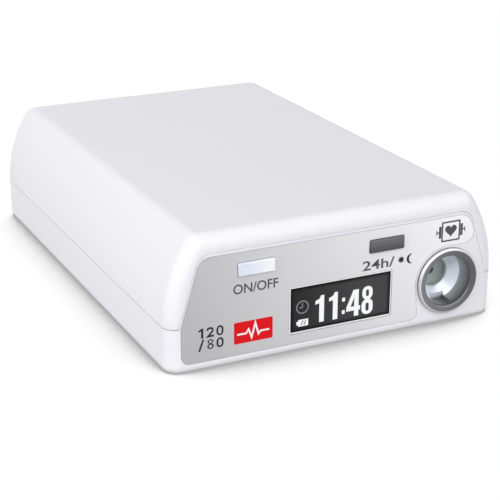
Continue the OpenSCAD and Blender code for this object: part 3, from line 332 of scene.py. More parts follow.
def upright(x, y, r, z0, z1, turns=48):
    """A round bar along Z: P(u) = (x + r cos u, y + r sin u)."""
    u = np.linspace(0, 2 * np.pi, turns, endpoint=False)
    loop = np.stack([x + r * np.cos(u), y + r * np.sin(u)], 1)
    return loft("bar", [np.insert(loop, 2, z, axis=1) for z in (z0, z1)])


# %% [markdown]
# What is seen from the front is easiest as a plate: an outline in X and Z, carried along Y.
# Round parts are profiles that go round an axis along Y.

# %% Plates and turned parts
def slab(name, outline, y0, y1, holes=()):
    """A plate that faces the front: an outline in X and Z, with holes, carried from y0 to y1.
    Both faces are the same flat filling, and each loop gets its own rim."""
    loops = [np.asarray(outline, float)] + [np.asarray(h, float) for h in holes]
    flat = np.concatenate(loops)
    fill = tessellate_polygon([[Vector((x, z, 0)) for x, z in loop] for loop in loops])
    n = len(flat)
    points = np.concatenate([np.insert(flat, 1, y0, axis=1), np.insert(flat, 1, y1, axis=1)])
    faces = [list(f) for f in fill] + [[i + n for i in f] for f in fill]
    start = 0
    for loop in loops:
        k = np.arange(len(loop))
        after = (k + 1) % len(loop)
        faces += (np.stack([k, after, after + n, k + n], 1) + start).tolist()
        start += len(loop)
    return put_mesh(name, points, faces)


def turned(name, profile, x, z, turns=96):
    """A turned part about a line along Y through (x, z): each point (r, y) of the closed
    profile goes round a circle, so P(u) = (x + r cos u, y, z + r sin u)."""
    profile = np.asarray(profile, float)
    u = np.linspace(0, 2 * np.pi, turns, endpoint=False)
    r, y = profile[:, :1], profile[:, 1:]
    ring = np.stack([x + r * np.cos(u), y + 0 * u, z + r * np.sin(u)], 2)
    rows = np.concatenate([ring, ring[:1]])
    faces = grid_faces(len(profile) + 1, turns, True)
    return put_mesh(name, rows.reshape(-1, 3), faces)


# %% [markdown]
# Openings are cut for good, because live booleans would slow every later step. Edges get
# their small rounds from a Bevel, and Weighted Normals keep the flats between them flat.

# %% Cuts and edges
SHARP = 32  # degrees; a smaller turn between faces is shaded as smooth


def cut(piece, *tools, how="DIFFERENCE"):
    """Takes each tool away from the piece for good, with Blender's exact boolean."""
    for tool in tools:
        change = piece.modifiers.new("cut", "BOOLEAN")
        change.operation = how
        change.solver = "EXACT"
        change.object = tool
        result = piece.evaluated_get(bpy.context.evaluated_depsgraph_get())
        mesh = bpy.data.meshes.new_from_object(result)
        piece.modifiers.clear()
        piece.data = mesh
        bpy.data.objects.remove(tool)
    return piece


def finish_edges(piece, bevel, sharp):
    """Smooth shading, with edges turned over by more than sharp degrees given a round of
    bevel millimetres."""
    piece.data.shade_smooth()
    piece.data.set_sharp_from_angle(angle=math.radians(sharp))
    if bevel:
        edge = piece.modifiers.new("edges", "BEVEL")
        edge.width = bevel * MM
        edge.segments = 2
        edge.limit_method = "ANGLE"
        edge.angle_limit = math.radians(sharp)
        edge.use_clamp_overlap = True
    even = piece.modifiers.new("normals", "WEIGHTED_NORMAL")
    even.keep_sharp = not bevel
    even.weight = 60


# %% [markdown]
# ## Materials
# Two effects are used by several finishes, so each is a node group: a fine moulded grain,
# and the faint cloudiness that large plain mouldings show. Each material places them with
# its own values.

# %% Node groups
def new_group(name, inputs, outputs):
    """A shader node group with named number inputs and named outputs."""
    group = bpy.data.node_groups.new(name, "ShaderNodeTree")
    for label, value in inputs:
        socket = group.interface.new_socket(label, in_out="INPUT", socket_type="NodeSocketFloat")
        socket.default_value = value
    for label in outputs:
        group.interface.new_socket(label, in_out="OUTPUT", socket_type="NodeSocketFloat")
    return group, group.nodes.new("NodeGroupInput"), group.nodes.new("NodeGroupOutput")


def noise(tree, scale, detail=2.0):
    """Noise on Object coordinates; scale counts cells per metre, or is a socket."""
    where = add_node(tree, "TexCoord").outputs["Object"]
    return add_node(tree, "TexNoise", Vector=where, Scale=scale, Detail=detail).outputs["Fac"]


def make_grain():
    """Fine grain of a spark-eroded mould: a height of small rounded cells and finer noise."""
    group, ins, outs = new_group("moulded_grain", [("Cells per metre", 2500.0)], ["Height"])
    group.links.new(noise(group, ins.outputs["Cells per metre"], 3.0), outs.inputs["Height"])
    return group


def make_cloud():
    """A slow change of value between Low and High over some centimetres."""
    group, ins, outs = new_group("cloudiness", [("Low", 0.0), ("High", 1.0)], ["Value"])
    spread = add_node(group, "MapRange", Value=noise(group, 60.0), From_Min=0.3, From_Max=0.7,
        To_Min=ins.outputs["Low"], To_Max=ins.outputs["High"])
    group.links.new(spread.outputs["Result"], outs.inputs["Value"])
    return group


grain_group, cloud_group = make_grain(), make_cloud()
print("groups", grain_group.name, cloud_group.name)

# %% [markdown]
# Most finishes here are one shader with a colour, a roughness that varies a little and a
# grain. One function makes such a material and keeps it under its name, and a table holds
# the plain ones.

# %% Plain finishes
materials = {}


def finish(name, colour, rough, metal=0.0, grain=2500.0, depth=0.004, coat=0.0, gloss=0.5):
    """A Principled material: colour, roughness from rough to rough + 0.04, and grain whose
    depth is in millimetres; gloss is its specular level."""
    material, tree, out = node_tree(name)
    cloud = add_node(tree, "Group", cloud_group, Low=rough, High=rough + 0.04)
    height = add_node(tree, "Group", grain_group, Cells_per_metre=grain)
    bump = add_node(tree, "Bump", Distance=depth * MM, Height=height.outputs["Height"])
    shader = add_node(tree, "BsdfPrincipled", Base_Color=colour, Metallic=metal, Coat_Weight=coat,
        Coat_Roughness=0.08, Specular_IOR_Level=gloss, Roughness=cloud.outputs["Value"],
        Normal=bump.outputs["Normal"])
    tree.links.new(shader.outputs["BSDF"], out.inputs["Surface"])
    materials[name] = material
    return material


def principled(material):
    """The inputs of a material's one shader."""
    return material.node_tree.nodes["Principled BSDF"].inputs


def paint(material, colour):
    """Joins a colour that changes over the piece to a material's shader."""
    feed(material.node_tree, colour, principled(material)["Base Color"])


for name, colour, rough, more in (
        ("black_plastic", (0.02, 0.02, 0.022), 0.5, {}),
        ("nickel_plate", (0.72, 0.7, 0.66), 0.2, {"metal": 1.0, "grain": 900.0, "depth": 0.002}),
        ("capacitor_tan", (0.5, 0.3, 0.05), 0.45, {}),
        ("screw_steel", (0.56, 0.57, 0.59), 0.3, {"metal": 1.0, "grain": 1500.0, "depth": 0.003}),
        ("black_rubber", (0.02, 0.02, 0.02), 0.75, {"grain": 1800.0, "depth": 0.01}),
        ("nut_brass", (0.72, 0.5, 0.2), 0.3, {"metal": 1.0}),
        ("silicone", (0.72, 0.74, 0.72), 0.4, {}),
        ("works_plastic", (0.74, 0.74, 0.68), 0.45, {}),
        ("magnet_dark", (0.03, 0.03, 0.035), 0.5, {"metal": 0.6}),
        ("winding_copper", (0.6, 0.2, 0.08), 0.35, {"metal": 0.8, "grain": 4000.0, "depth": 0.02})):
    finish(name, colour, rough, **more)
print("plain finishes", len(materials))

# %% [markdown]
# Some colours change over the piece. A mask, a number from 0 to 1 worked out from the place
# on the object, chooses between two colours, and masks can be stacked.

# %% Helpers for masks
def coordinate(tree, axis):
    """The place along one axis of Object coordinates, in metres."""
    where = add_node(tree, "TexCoord").outputs["Object"]
    return add_node(tree, "SeparateXYZ", Vector=where).outputs[axis]


def step_mask(tree, value, low, high, smooth=False):
    """0 at low and 1 at high, and even beyond them, of a number socket."""
    mask = add_node(tree, "MapRange", Value=value, From_Min=low, From_Max=high)
    mask.interpolation_type = "SMOOTHSTEP" if smooth else "LINEAR"
    return mask.outputs["Result"]


def mix_colour(tree, mask, first, second):
    """first where the mask is 0 and second where it is 1; each is a colour or a socket."""
    mix = add_node(tree, "Mix")
    mix.data_type = "RGBA"
    for label, value in (("Factor", mask), ("A", first), ("B", second)):
        feed(tree, value, mix.inputs[label])
    return mix.outputs["Result"]


# %% [markdown]
# The white plastic and the boards are cloudy: their colour moves between two tones with
# slow noise. The keys carry painted light: the pale one grows lighter from left to right,
# for light through its translucent plastic from one side, and the dark one grows lighter
# from its foot to its top.

# %% Cloudy and graded finishes
def vary_colour(material, first, second, cells):
    """Lets the colour move between two tones with noise of so many cells per metre."""
    tree = material.node_tree
    paint(material, mix_colour(tree, noise(tree, cells), first, second))


def painted_light_grade(material, axis, start, end, first, second):
    """Lets the colour run from first to second along an axis of Object coordinates, between
    two places in millimetres, with an even start and end. On the keys this is painted light."""
    tree = material.node_tree
    along = step_mask(tree, coordinate(tree, axis), start * MM, end * MM, smooth=True)
    paint(material, mix_colour(tree, along, first, second))


white = finish("case_white", (0.855, 0.847, 0.89), 0.36, depth=0.006, gloss=0.18)
vary_colour(white, (0.845, 0.837, 0.885), (0.865, 0.857, 0.895), 35.0)
green = finish("board_green", (0.02, 0.16, 0.06), 0.32, coat=0.5)
vary_colour(green, (0.015, 0.13, 0.05), (0.03, 0.2, 0.08), 900.0)
pale = finish("start_key_pale", (0.85, 0.89, 0.97), 0.22, coat=0.3)
# painted light: the pale key grows lighter to the right
painted_light_grade(pale, "X", START_X - KEY_W / 2, START_X + KEY_W / 2, (0.76, 0.8, 0.92), (0.96, 0.98, 1.0))
grey = finish("auto_key_grey", (0.09, 0.09, 0.1), 0.28, coat=0.15)
# painted light: the dark key grows lighter towards its top
painted_light_grade(grey, "Z", KEY_Z - KEY_H / 2, KEY_Z + KEY_H / 2, (0.045, 0.045, 0.05), (0.12, 0.12, 0.13))
print("finishes so far", len(materials))

# %% [markdown]
# The panel's film is silver ink under a satin coat. Its tone falls from light grey at the
# right to mid grey at the left, and is a little darker towards the foot; both are painted
# light and shade.

# %% Silver film
def silver_film():
    """The tone is even along X at the foot and at the top, and even along Z between them. Both
    grades are painted light and shade.
    """
    material = finish("panel_silver", (0.6, 0.61, 0.62), 0.42, metal=0.06, grain=9000.0, depth=0.001,
        coat=0.25)
    tree = material.node_tree
    # painted light to the right and painted shade towards the foot
    across = step_mask(tree, coordinate(tree, "X"), -28 * MM, 24 * MM)
    foot = mix_colour(tree, across, (0.466, 0.466, 0.482), (0.845, 0.838, 0.862))
    head = mix_colour(tree, across, (0.53, 0.53, 0.548), (0.96, 0.952, 0.98))
    up = step_mask(tree, coordinate(tree, "Z"), 2 * MM, 20 * MM)
    paint(material, mix_colour(tree, up, foot, head))
    return material


print("film", silver_film().name)

# %% [markdown]
# Behind the window's glass lies the display's dark grey field, a little lighter to the right
# with painted light. Round it are a black printed border and, along the glass's own edge, a
# bright line that is a painted highlight. Which one shows follows from how near a point is
# to the window's edge.

# %% Window glass
BORDER = (1.1, 0.7)  # how far the field stays from the edge, and over how much it fades
# the bright line outside the black border is a painted highlight
PAINTED_HIGHLIGHT = (0.27, 0.03)  # the same for the black border
LINE_UP = 0.08  # the line is a little wider at the foot than at the top


def between(tree, value, middle, half, soft):
    """1 where the number lies within half of the middle, falling to 0 over soft."""
    off = calculate(tree, "ABSOLUTE", calculate(tree, "SUBTRACT", value, middle), 0.0)
    return step_mask(tree, off, half + soft, half)


def window_glass():
    """From the edge inwards: a bright line, which is a painted highlight, black, and a field that
    is a little lighter to the right, which is painted light. Each mask is the product of one
    along X and one along Z."""
    material = finish("window_dark", (0.006, 0.006, 0.008), 0.1, grain=300.0, depth=0.0005, gloss=0.12)
    tree = material.node_tree
    across, up = coordinate(tree, "X"), coordinate(tree, "Z")
    x, z, w, h = WINDOW

    def inside(margin, soft):
        wide = between(tree, across, x * MM, (w / 2 - margin) * MM, soft * MM)
        high = between(tree, up, (z + LINE_UP) * MM, (h / 2 - margin) * MM, soft * MM)
        return calculate(tree, "MULTIPLY", wide, high)

    # painted light: the field grows lighter to the right
    right = step_mask(tree, across, -10 * MM, 4 * MM)
    field = mix_colour(tree, right, (0.016, 0.016, 0.017), (0.056, 0.056, 0.058))
    dark = mix_colour(tree, inside(*BORDER), (0.002, 0.002, 0.003), field)
    # painted highlight along the glass's own edge
    paint(material, mix_colour(tree, inside(*PAINTED_HIGHLIGHT), (0.9, 0.9, 0.92), dark))
    return material


print("window", window_glass().name)

# %% [markdown]
# A cell wears a printed sleeve: dark over most of its length, with a copper-coloured band
# at the end with the nub, and bare metal ends. The two cells lie opposite ways, so X is
# turned round for the rear one.

# %% Cell sleeve
NUB_END = 1.7  # from the tip of the nub to the sleeve
FLAT_END = 0.4  # from the flat end to the sleeve
BAND = 13.0


def cell_sleeve():
    """The place along a cell is x for the front cell and -x for the rear one; past the band's
    start the sleeve is copper-coloured, and past the sleeve's ends bare steel shows."""
    material = finish("cell_sleeve", (0.02, 0.025, 0.03), 0.3, coat=0.4)
    tree = material.node_tree
    x = coordinate(tree, "X")
    lo, hi = (np.array(corner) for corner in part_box("front_cell"))
    rear = calculate(tree, "GREATER_THAN", coordinate(tree, "Y"), float(hi[1]))
    along = calculate(tree, "ADD", x, calculate(tree, "MULTIPLY", rear, calculate(tree, "MULTIPLY", x, -2.0)))
    nub_end, flat_end = float(hi[0]) - NUB_END * MM, float(lo[0]) + FLAT_END * MM
    band = step_mask(tree, along, nub_end - BAND * MM, nub_end - (BAND - 0.2) * MM)
    bare = calculate(tree, "MAXIMUM", calculate(tree, "GREATER_THAN", along, nub_end),
        calculate(tree, "LESS_THAN", along, flat_end))
    sleeve = mix_colour(tree, band, (0.016, 0.018, 0.022), (0.62, 0.27, 0.08))
    paint(material, mix_colour(tree, bare, sleeve, (0.6, 0.6, 0.58)))
    feed(tree, bare, principled(material)["Metallic"])
    return material


print("sleeve", cell_sleeve().name)

# %% [markdown]
# The socket is one metal with three zones: a satin ring, a bright bore and funnel, and a
# dull pocket. Much of its colour is painted light: the ring's face is dark, and darker to the
# right, as painted reflection and shade, with a painted highlight on its outer rim; the entry
# is painted shade, dark at the mouth and lighter towards the funnel; and the funnel's bright
# colour is a painted reflection. Which one shows follows from the distance to the socket's
# axis and from the depth, so the socket's own sizes are named here.

# %% Socket metal
FLANGE_R = 6.35
ENTRY_R = 4.85
FUNNEL_R = 4.7
POCKET_R = 2.75
MOUTH_Y = -47.7  # the rounded mouth ends here
KEYWAY_Y = -47.3
FUNNEL_Y = -44.5
POCKET_Y = -42.8
END_Y = -41.6


def socket_metal():
    """The distance to the axis is sqrt((x - axis x)^2 + (z - axis z)^2). Past the bore's
    radius the metal is the ring's in front of the keyway, and the keyway's own behind it."""
    material = finish("socket_chrome", (0.6, 0.6, 0.62), 0.3, metal=0.8, grain=700.0, depth=0.001)
    tree = material.node_tree
    x, y, z = (coordinate(tree, axis) for axis in "XYZ")
    side, up = (calculate(tree, "SUBTRACT", value, middle * MM) for value, middle in zip((x, z), SOCKET))
    square = calculate(tree, "ADD", calculate(tree, "MULTIPLY", side, side),
        calculate(tree, "MULTIPLY", up, up))
    away = calculate(tree, "SQRT", square, 0.0)
    pocket = step_mask(tree, y, (POCKET_Y - 0.2) * MM, (POCKET_Y + 0.1) * MM)
    bore = step_mask(tree, away, (FUNNEL_R - 0.15) * MM, FUNNEL_R * MM)
    # painted shade: the entry is dark at its mouth and lighter towards the funnel
    depth = step_mask(tree, y, (KEYWAY_Y - 0.2) * MM, FUNNEL_Y * MM)
    entry_painted_shade = mix_colour(tree, depth, (0.1, 0.1, 0.11), (0.55, 0.57, 0.6))
    # the bright blue-white of the bore and funnel is a painted reflection
    inner = mix_colour(tree, pocket, mix_colour(tree, bore, (0.86, 0.91, 1.0), entry_painted_shade), (0.46, 0.51, 0.49))
    past_bore = step_mask(tree, away, (ENTRY_R + 0.01) * MM, (ENTRY_R + 0.07) * MM)
    inner = mix_colour(tree, past_bore, inner, (0.25, 0.25, 0.26))
    in_front = calculate(tree, "LESS_THAN", y, (KEYWAY_Y - 0.1) * MM)
    outside = calculate(tree, "GREATER_THAN", away, (FLANGE_R - 0.75) * MM)
    ring = calculate(tree, "MULTIPLY", past_bore, calculate(tree, "MAXIMUM", in_front, outside))
    # painted reflection and shade: the ring's face is dark, and darker to the right
    across = step_mask(tree, x, (SOCKET[0] - 5.5) * MM, (SOCKET[0] + 5.5) * MM)
    ring_face_painted_reflection = mix_colour(tree, across, (0.19, 0.19, 0.21), (0.11, 0.11, 0.12))
    # painted highlight on the ring's outer rim
    rim = step_mask(tree, away, (FLANGE_R - 0.45) * MM, (FLANGE_R - 0.3) * MM)
    ring_and_painted_highlight = mix_colour(tree, rim, ring_face_painted_reflection, (0.62, 0.62, 0.65))
    paint(material, mix_colour(tree, ring, inner, ring_and_painted_highlight))
    metal = calculate(tree, "ADD", calculate(tree, "MULTIPLY", ring, 0.5), 0.35)
    feed(tree, metal, principled(material)["Metallic"])
    return material


print("socket", socket_metal().name)

# %% [markdown]
# Each CAD node gets the finish that the record names for it. A new piece is dressed by one
# function, which also says which body it moves with and which CAD nodes it stands for.

# %% Dress the nodes
record_slots = set()
for part in frame["record"]["subparts"]:
    record_slots.add(part["material_slot"])
    for place in frame["nodes"][part["node"]].material_slots:
        place.material = materials[part["material_slot"]]
print("nodes", len(frame["nodes"]), "with", len(record_slots), "finishes")


def dress(piece, body, slot, replaces=(), bevel=0.0, sharp=SHARP):
    """Gives a piece its finish, its edges and its body, and hides the CAD nodes it stands for."""
    piece.data.materials.clear()
    piece.data.materials.append(materials[slot])
    finish_edges(piece, bevel, sharp)
    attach(piece, body)
    if replaces:
        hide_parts(*replaces)
    return piece


# %% [markdown]
# ## Upper case
# The real case is a shell with sides that lean in on a large radius and one ball radius
# round every upper edge. In the front view its outline has a core curve, drawn in by the
# ball's radius, and a direction at each point. The skin is that core plus a profile that
# leaves the front as a quarter circle, runs back straight and closes in another quarter.

# %% Outline of the upper case
def upper_core(inset):
    """Core curve and its outward direction over t, from the right parting point over the top
    to the left one: an arc about the side's centre, a turn on the spot at the ball's centre,
    a straight top, and the same mirrored. An inset skin starts lower, so that it cuts
    through the underside. Columns: x, z, direction x, direction z."""
    centre = HALF_W - SIDE_R
    reach = SIDE_R - ROUND
    lean = math.asin((TOP - ROUND - PART) / reach)
    ball_x = centre + reach * math.cos(lean)
    a = np.linspace(0, lean, 15)
    side = np.stack([centre + reach * np.cos(a), PART + reach * np.sin(a), np.cos(a), np.sin(a)], 1)
    b = np.linspace(lean, np.pi / 2, 13)[1:]
    turn = np.stack([ball_x + 0 * b, TOP - ROUND + 0 * b, np.cos(b), np.sin(b)], 1)
    half = np.concatenate([side, turn, [[0, TOP - ROUND, 0, 1]]])
    core = np.concatenate([half, half[-2::-1] * [-1, 1, -1, 1]])
    if inset:
        drop = [0, inset * 2, 0, 0]
        core = np.concatenate([[core[0] - drop], core, [core[-1] - drop]])
    return core


def edge_profile(inset):
    """Offset from the core and place along Y over s: a quarter circle of the ball's radius,
    drawn in by inset, at the front, and the same at the back."""
    r = ROUND - inset
    q = np.linspace(0, np.pi / 2, 13)
    front = np.stack([r * np.sin(q), FRONT + inset + r * (1 - np.cos(q))], 1)
    back = np.stack([front[::-1, 0], -front[::-1, 1]], 1)
    return np.concatenate([front, back])


def upper_skin(name, inset):
    """P(s, t) = core(t) + offset(s) * direction(t), at place(s) along Y. The ends and the
    underside are flat."""
    core, profile = upper_core(inset), edge_profile(inset)
    xz = core[None, :, :2] + profile[:, None, :1] * core[None, :, 2:]
    y = np.broadcast_to(profile[:, None, 1:], xz.shape[:2] + (1,))
    points = np.concatenate([xz[..., :1], y, xz[..., 1:]], 2)
    m, n, _ = points.shape
    under = [i * n for i in range(m)] + [i * n + n - 1 for i in reversed(range(m))]
    faces = grid_faces(m, n, False) + [list(range(n)), list(range((m - 1) * n, m * n)), under]
    return put_mesh(name, points.reshape(-1, 3), faces)


# %% [markdown]
# The arch is a trapezium with round upper corners. Corners are rounded by one function that
# swaps each corner for an arc that touches both its sides.

# %% Rounded outlines
def rounded(corners, radii, steps=10):
    """The polygon with each corner swapped for an arc of its radius: the arc's centre lies on
    the corner's bisector, r / sin(half angle) away from the corner."""
    corners = np.asarray(corners, float)
    before, after = np.roll(corners, 1, 0), np.roll(corners, -1, 0)
    out = []
    for a, b, c, r in zip(before, corners, after, radii):
        if r == 0:
            out.append(b[None])
            continue
        u, v = (a - b) / np.linalg.norm(a - b), (c - b) / np.linalg.norm(c - b)
        half = math.acos(float(u @ v)) / 2
        middle = b + (u + v) / np.linalg.norm(u + v) * r / math.sin(half)
        p, q = b + u * r / math.tan(half) - middle, b + v * r / math.tan(half) - middle
        start = math.atan2(p[1], p[0])
        turn = (math.atan2(q[1], q[0]) - start + 3 * math.pi) % (2 * math.pi) - math.pi
        w = start + turn * np.linspace(0, 1, steps + 1)
        out.append(middle + r * np.stack([np.cos(w), np.sin(w)], 1))
    return np.concatenate(out)


def arch_x(z, margin):
    """Half width of the arch at height z, drawn in by a margin."""
    return ARCH_W / 2 - margin / math.cos(ARCH_LEAN) - (z - PART) * math.tan(ARCH_LEAN)


def arch(margin, low):
    """The arch's outline, drawn in by a margin, down to height low."""
    top = ARCH_TOP - margin
    side, high = arch_x(PART, margin), arch_x(top, margin)
    return rounded([(-side, low), (-side, PART), (-high, top), (high, top), (side, PART), (side, low)],
        [0, 0, ARCH_R, ARCH_R, 0, 0])


def rectangle(x, z, w, h, r, steps=6):
    """A rectangle about (x, z) with round corners."""
    w, h = w / 2, h / 2
    return rounded([(x - w, z - h), (x - w, z + h), (x + w, z + h), (x + w, z - h)], [r] * 4, steps)


# %% [markdown]
# The upper case is hollowed out with the same skin, drawn in by the wall. The arch is cut
# from its front, and the data socket's opening from its back.

# %% Upper case
DATA = (16.0, 20.15, 8.7, 3.5)  # data socket's opening: middle in X and Z, width and height
upper = upper_skin("upper_shell", 0.0)
cut(upper, upper_skin("inside", WALL),
    slab("arch_tool", arch(-ARCH_GAP, PART - WALL), FRONT - 3, FRONT + 6),
    slab("data_tool", rectangle(*DATA, 0.8), BACK - 4, BACK + 2))
dress(upper, "housing", "case_white", ["upper_case"], bevel=0.12)
print("upper case faces", len(upper.data.polygons))

# %% [markdown]
# ## Lower case
# The lower moulding is a tray whose plan has the same upright corners, and a front wall that
# climbs to the arch. It starts as one tall prism with a rounded foot. Then the room above
# the parting line and inside the walls is taken away, except where the battery bay, the
# screw bosses and the board posts stand.

# %% What stands in the lower case
BAY_X = 27.15  # half width of the battery bay
BAY_Y = (14.45, 43.45)
BAY_Z = 16.3
BAY_T = 1.0  # walls of the bay
RAIL_X = (28.25, 30.15)  # roofs over the cover's rail grooves
RAIL_TOP = 2.8
ROOT = 0.9  # all of this starts inside the base
SCREWS = [(sx * 27.55, y) for sx in (-1, 1) for y in (-30.0, 10.35)]
BOSS_R = 2.5
POSTS = [(-21.0, -35.0), (10.5, -35.0), (-20.5, 10.85), (20.5, 10.85)]
POST_R = 2.0
POST_TOP = 17.8


def kept():
    """What stands in the tray: battery bay, roofs over the rail grooves, bosses and posts."""
    near = BAY_Y[0] - BAY_T
    bay = box((-BAY_X - BAY_T, BAY_X + BAY_T), (near, BAY_Y[1] + BAY_T), (ROOT, BAY_Z + BAY_T))
    roofs = [box(sorted(s * x for x in RAIL_X), (near, BACK - 0.9), (ROOT, RAIL_TOP)) for s in (-1, 1)]
    bosses = [upright(x, y, BOSS_R, ROOT, PART) for x, y in SCREWS]
    posts = [upright(x, y, POST_R, ROOT, POST_TOP) for x, y in POSTS]
    return joined("kept", [bay, *roofs, *bosses, *posts])


# %% [markdown]
# A prism is the plan carried up. Its foot is rounded by drawing the lowest loops in along a
# quarter circle, and the same prism, drawn in by the wall, makes the room inside.

# %% Lower case
SEAM = PART - PART_GAP


def plan(inset):
    """The case's plan, drawn in by inset, as a rectangle in X and Y with round corners."""
    x, y, r = HALF_W - inset, BACK - inset, max(ROUND - inset, 0.3)
    return rounded([(-x, -y), (-x, y), (x, y), (x, -y)], [r] * 4, 12)


def prism(name, inset, z0, z1, foot=0.0):
    """The plan carried from z0 to z1; with a foot radius R, the loop at angle q of the foot is
    drawn in by R (1 - sin q) and lies R (1 - cos q) above z0."""
    q = np.linspace(0, np.pi / 2, 9) if foot else np.array([np.pi / 2])
    levels = [(inset + foot * (1 - math.sin(a)), z0 + foot * (1 - math.cos(a))) for a in q]
    levels.append((inset, z1))
    return loft(name, [np.insert(plan(d), 2, z, axis=1) for d, z in levels])


lower = prism("lower_shell", 0.0, 0.0, ARCH_TOP + 2, BASE_R)
above = box((-40, 40), (FRONT + FACE_T, BACK + 1), (SEAM, 40))
cut(above, kept())
inside = prism("inside", WALL, WALL, 40)
cut(inside, box((-40, 40), (FRONT - 2, FRONT + FACE_T), (0, 45)), kept())
beside = np.concatenate([[(-40, SEAM)], arch(0, SEAM), [(40, SEAM), (40, 40), (-40, 40)]])
cut(lower, above, inside, slab("beside", beside, FRONT - 2, FRONT + FACE_T + 0.02))
print("lower case faces", len(lower.data.polygons))

# %% [markdown]
# The front wall has a shallow pocket for the printed panel, a seat for the window and
# holes for the keys and the socket. Their outlines are functions of how much they grow, so
# that a piece and its hole always match.

# %% Outlines on the front
LABEL_SIDE = 0.35  # margins of the printed panel inside the arch
LABEL_TOP = 0.65
LABEL_LOW = 1.6  # its foot above the base
LABEL_R = 1.8
RING_GAP = 0.4  # between the panel and the socket's flange
FIT = 0.08  # clearance of the panel and the window
KEY_FIT = 0.12


def label_outline(grow):
    """The printed panel: it follows the arch at a margin and curls round the socket."""
    side, low = LABEL_SIDE - grow, LABEL_LOW - grow
    top = ARCH_TOP - LABEL_TOP + grow
    r = FLANGE_R + RING_GAP - grow
    ledge, right = SOCKET[1] + r, SOCKET[0] - r
    ring = np.linspace(np.pi / 2, np.pi, 25)
    edge = rounded([(right, low), (-arch_x(PART, side), low), (-arch_x(PART, side), PART),
        (-arch_x(top, side), top), (arch_x(top, side), top), (arch_x(ledge, side), ledge),
        (SOCKET[0], ledge)],
        [LABEL_R, LABEL_R, ARCH_R, ARCH_R - LABEL_SIDE, ARCH_R - LABEL_SIDE, LABEL_R, 0])
    return np.concatenate([edge, SOCKET + r * np.stack([np.cos(ring), np.sin(ring)], 1)[1:]])


def window_outline(grow):
    """The window's rectangle, larger by grow all round."""
    x, z, w, h = WINDOW
    return rectangle(x, z, w + 2 * grow, h + 2 * grow, 0.25 + max(grow, 0))


def key_outline(x, grow):
    """A key's rectangle with round corners, larger by grow all round."""
    return rectangle(x, KEY_Z, KEY_W + 2 * grow, KEY_H + 2 * grow, KEY_R + grow)


# %% [markdown]
# The base opens for the battery cover, whose tongues slide in grooves at its sides. Screws
# come from below, in counterbored holes, and hold the upper case.

# %% Openings of the lower case
COVER_X = 26.25  # half width of the battery cover
TONGUE_X = 28.05  # half width over its tongues
COVER_TOP = 1.7
SLIDE = 0.1  # clearance of the cover
GROOVE_LOW = 0.82
UPSTAND = 5.6  # height of the cover's rim at the back
LABEL_POCKET = 0.35
SEAT = 1.0  # depth of the window's seat
SEAT_RIM = 0.9  # width of the seat behind the window
SOCKET_HOLE_R = 5.75
HEAD_R = 2.3  # screw heads
HEAD_TOP = 2.1
SCREW_R = 1.3
POST_HOLE_R = 0.85
out, through = FRONT - 1, FRONT + 3
hole = [(0.01, out), (SOCKET_HOLE_R, out), (SOCKET_HOLE_R, through), (0.01, through)]
cover_x = (-COVER_X - SLIDE, COVER_X + SLIDE)
cover_y = (BAY_Y[0] - 0.5, BACK + 1)
cut(lower, slab("pocket", label_outline(FIT), out, FRONT + LABEL_POCKET),
    slab("seat", window_outline(FIT), out, FRONT + SEAT),
    slab("view", window_outline(-SEAT_RIM), out, through),
    *[slab("key_hole", key_outline(x, KEY_FIT), out, through) for x in (START_X, AUTO_X)],
    turned("socket_hole", hole, *SOCKET),
    box((-BAY_X, BAY_X), BAY_Y, (1.5, BAY_Z)),
    box(cover_x, cover_y, (-1, COVER_TOP + SLIDE)),
    box((-TONGUE_X - SLIDE, TONGUE_X + SLIDE), cover_y, (GROOVE_LOW, COVER_TOP + SLIDE - 0.001)),
    box(cover_x, (BACK - WALL - SLIDE, BACK + 1), (-1, UPSTAND + SLIDE)),
    *[upright(x, y, HEAD_R, -1, HEAD_TOP) for x, y in SCREWS],
    *[upright(x, y, SCREW_R, 0.5, 9) for x, y in SCREWS],
    *[upright(x, y, POST_HOLE_R, 12, 19) for x, y in POSTS])
dress(lower, "housing", "case_white", ["lower_case"])
print("lower case faces with its openings", len(lower.data.polygons))

# %% [markdown]
# ## Printed panel, window and keys
# The panel is a thin film with holes. The window is a plate of dark glass, and each key a
# cap whose front edge is a quarter round and whose rim holds it behind the wall.

# %% Panel, window and keys
FILM = (0.05, 0.34)  # front and back of the film, behind the wall's front
KEY_OUT = 0.35  # how far the keys stand out
KEY_EDGE = 0.28  # round of the keys' front edge
label = slab("panel_film", label_outline(0), FRONT + FILM[0], FRONT + FILM[1],
    [window_outline(FIT), key_outline(START_X, KEY_FIT), key_outline(AUTO_X, KEY_FIT)])
dress(label, "housing", "panel_silver", ["front_label"])


def cap(name, outline, front, back, edge, rim=0.0, rim_t=0.0):
    """A plate or cap facing the front: outline(grow) is its outline, and at angle q of its
    front edge it is drawn in by edge (1 - sin q) and lies edge (1 - cos q) behind the front."""
    q = np.linspace(0, np.pi / 2, 7)
    levels = [(-edge * (1 - math.sin(a)), front + edge * (1 - math.cos(a))) for a in q]
    levels += [(0, back)] if not rim else [(0, back), (rim, back), (rim, back + rim_t)]
    return loft(name, [np.insert(outline(grow), 1, y, axis=1) for grow, y in levels])


window = cap("window_glass", window_outline, FRONT + 0.08, FRONT + SEAT, 0.12)
dress(window, "housing", "window_dark", ["display_window"])
for name, x, slot in (("start", START_X, "start_key_pale"), ("auto", AUTO_X, "auto_key_grey")):
    key = cap(f"{name}_cap", lambda grow, x=x: key_outline(x, grow), FRONT - KEY_OUT, FRONT + FACE_T + 0.06,
        KEY_EDGE, rim=0.8, rim_t=0.89)
    dress(key, f"{name}_key", slot, [f"{name}_key"])
    print(key.name, "faces", len(key.data.polygons))

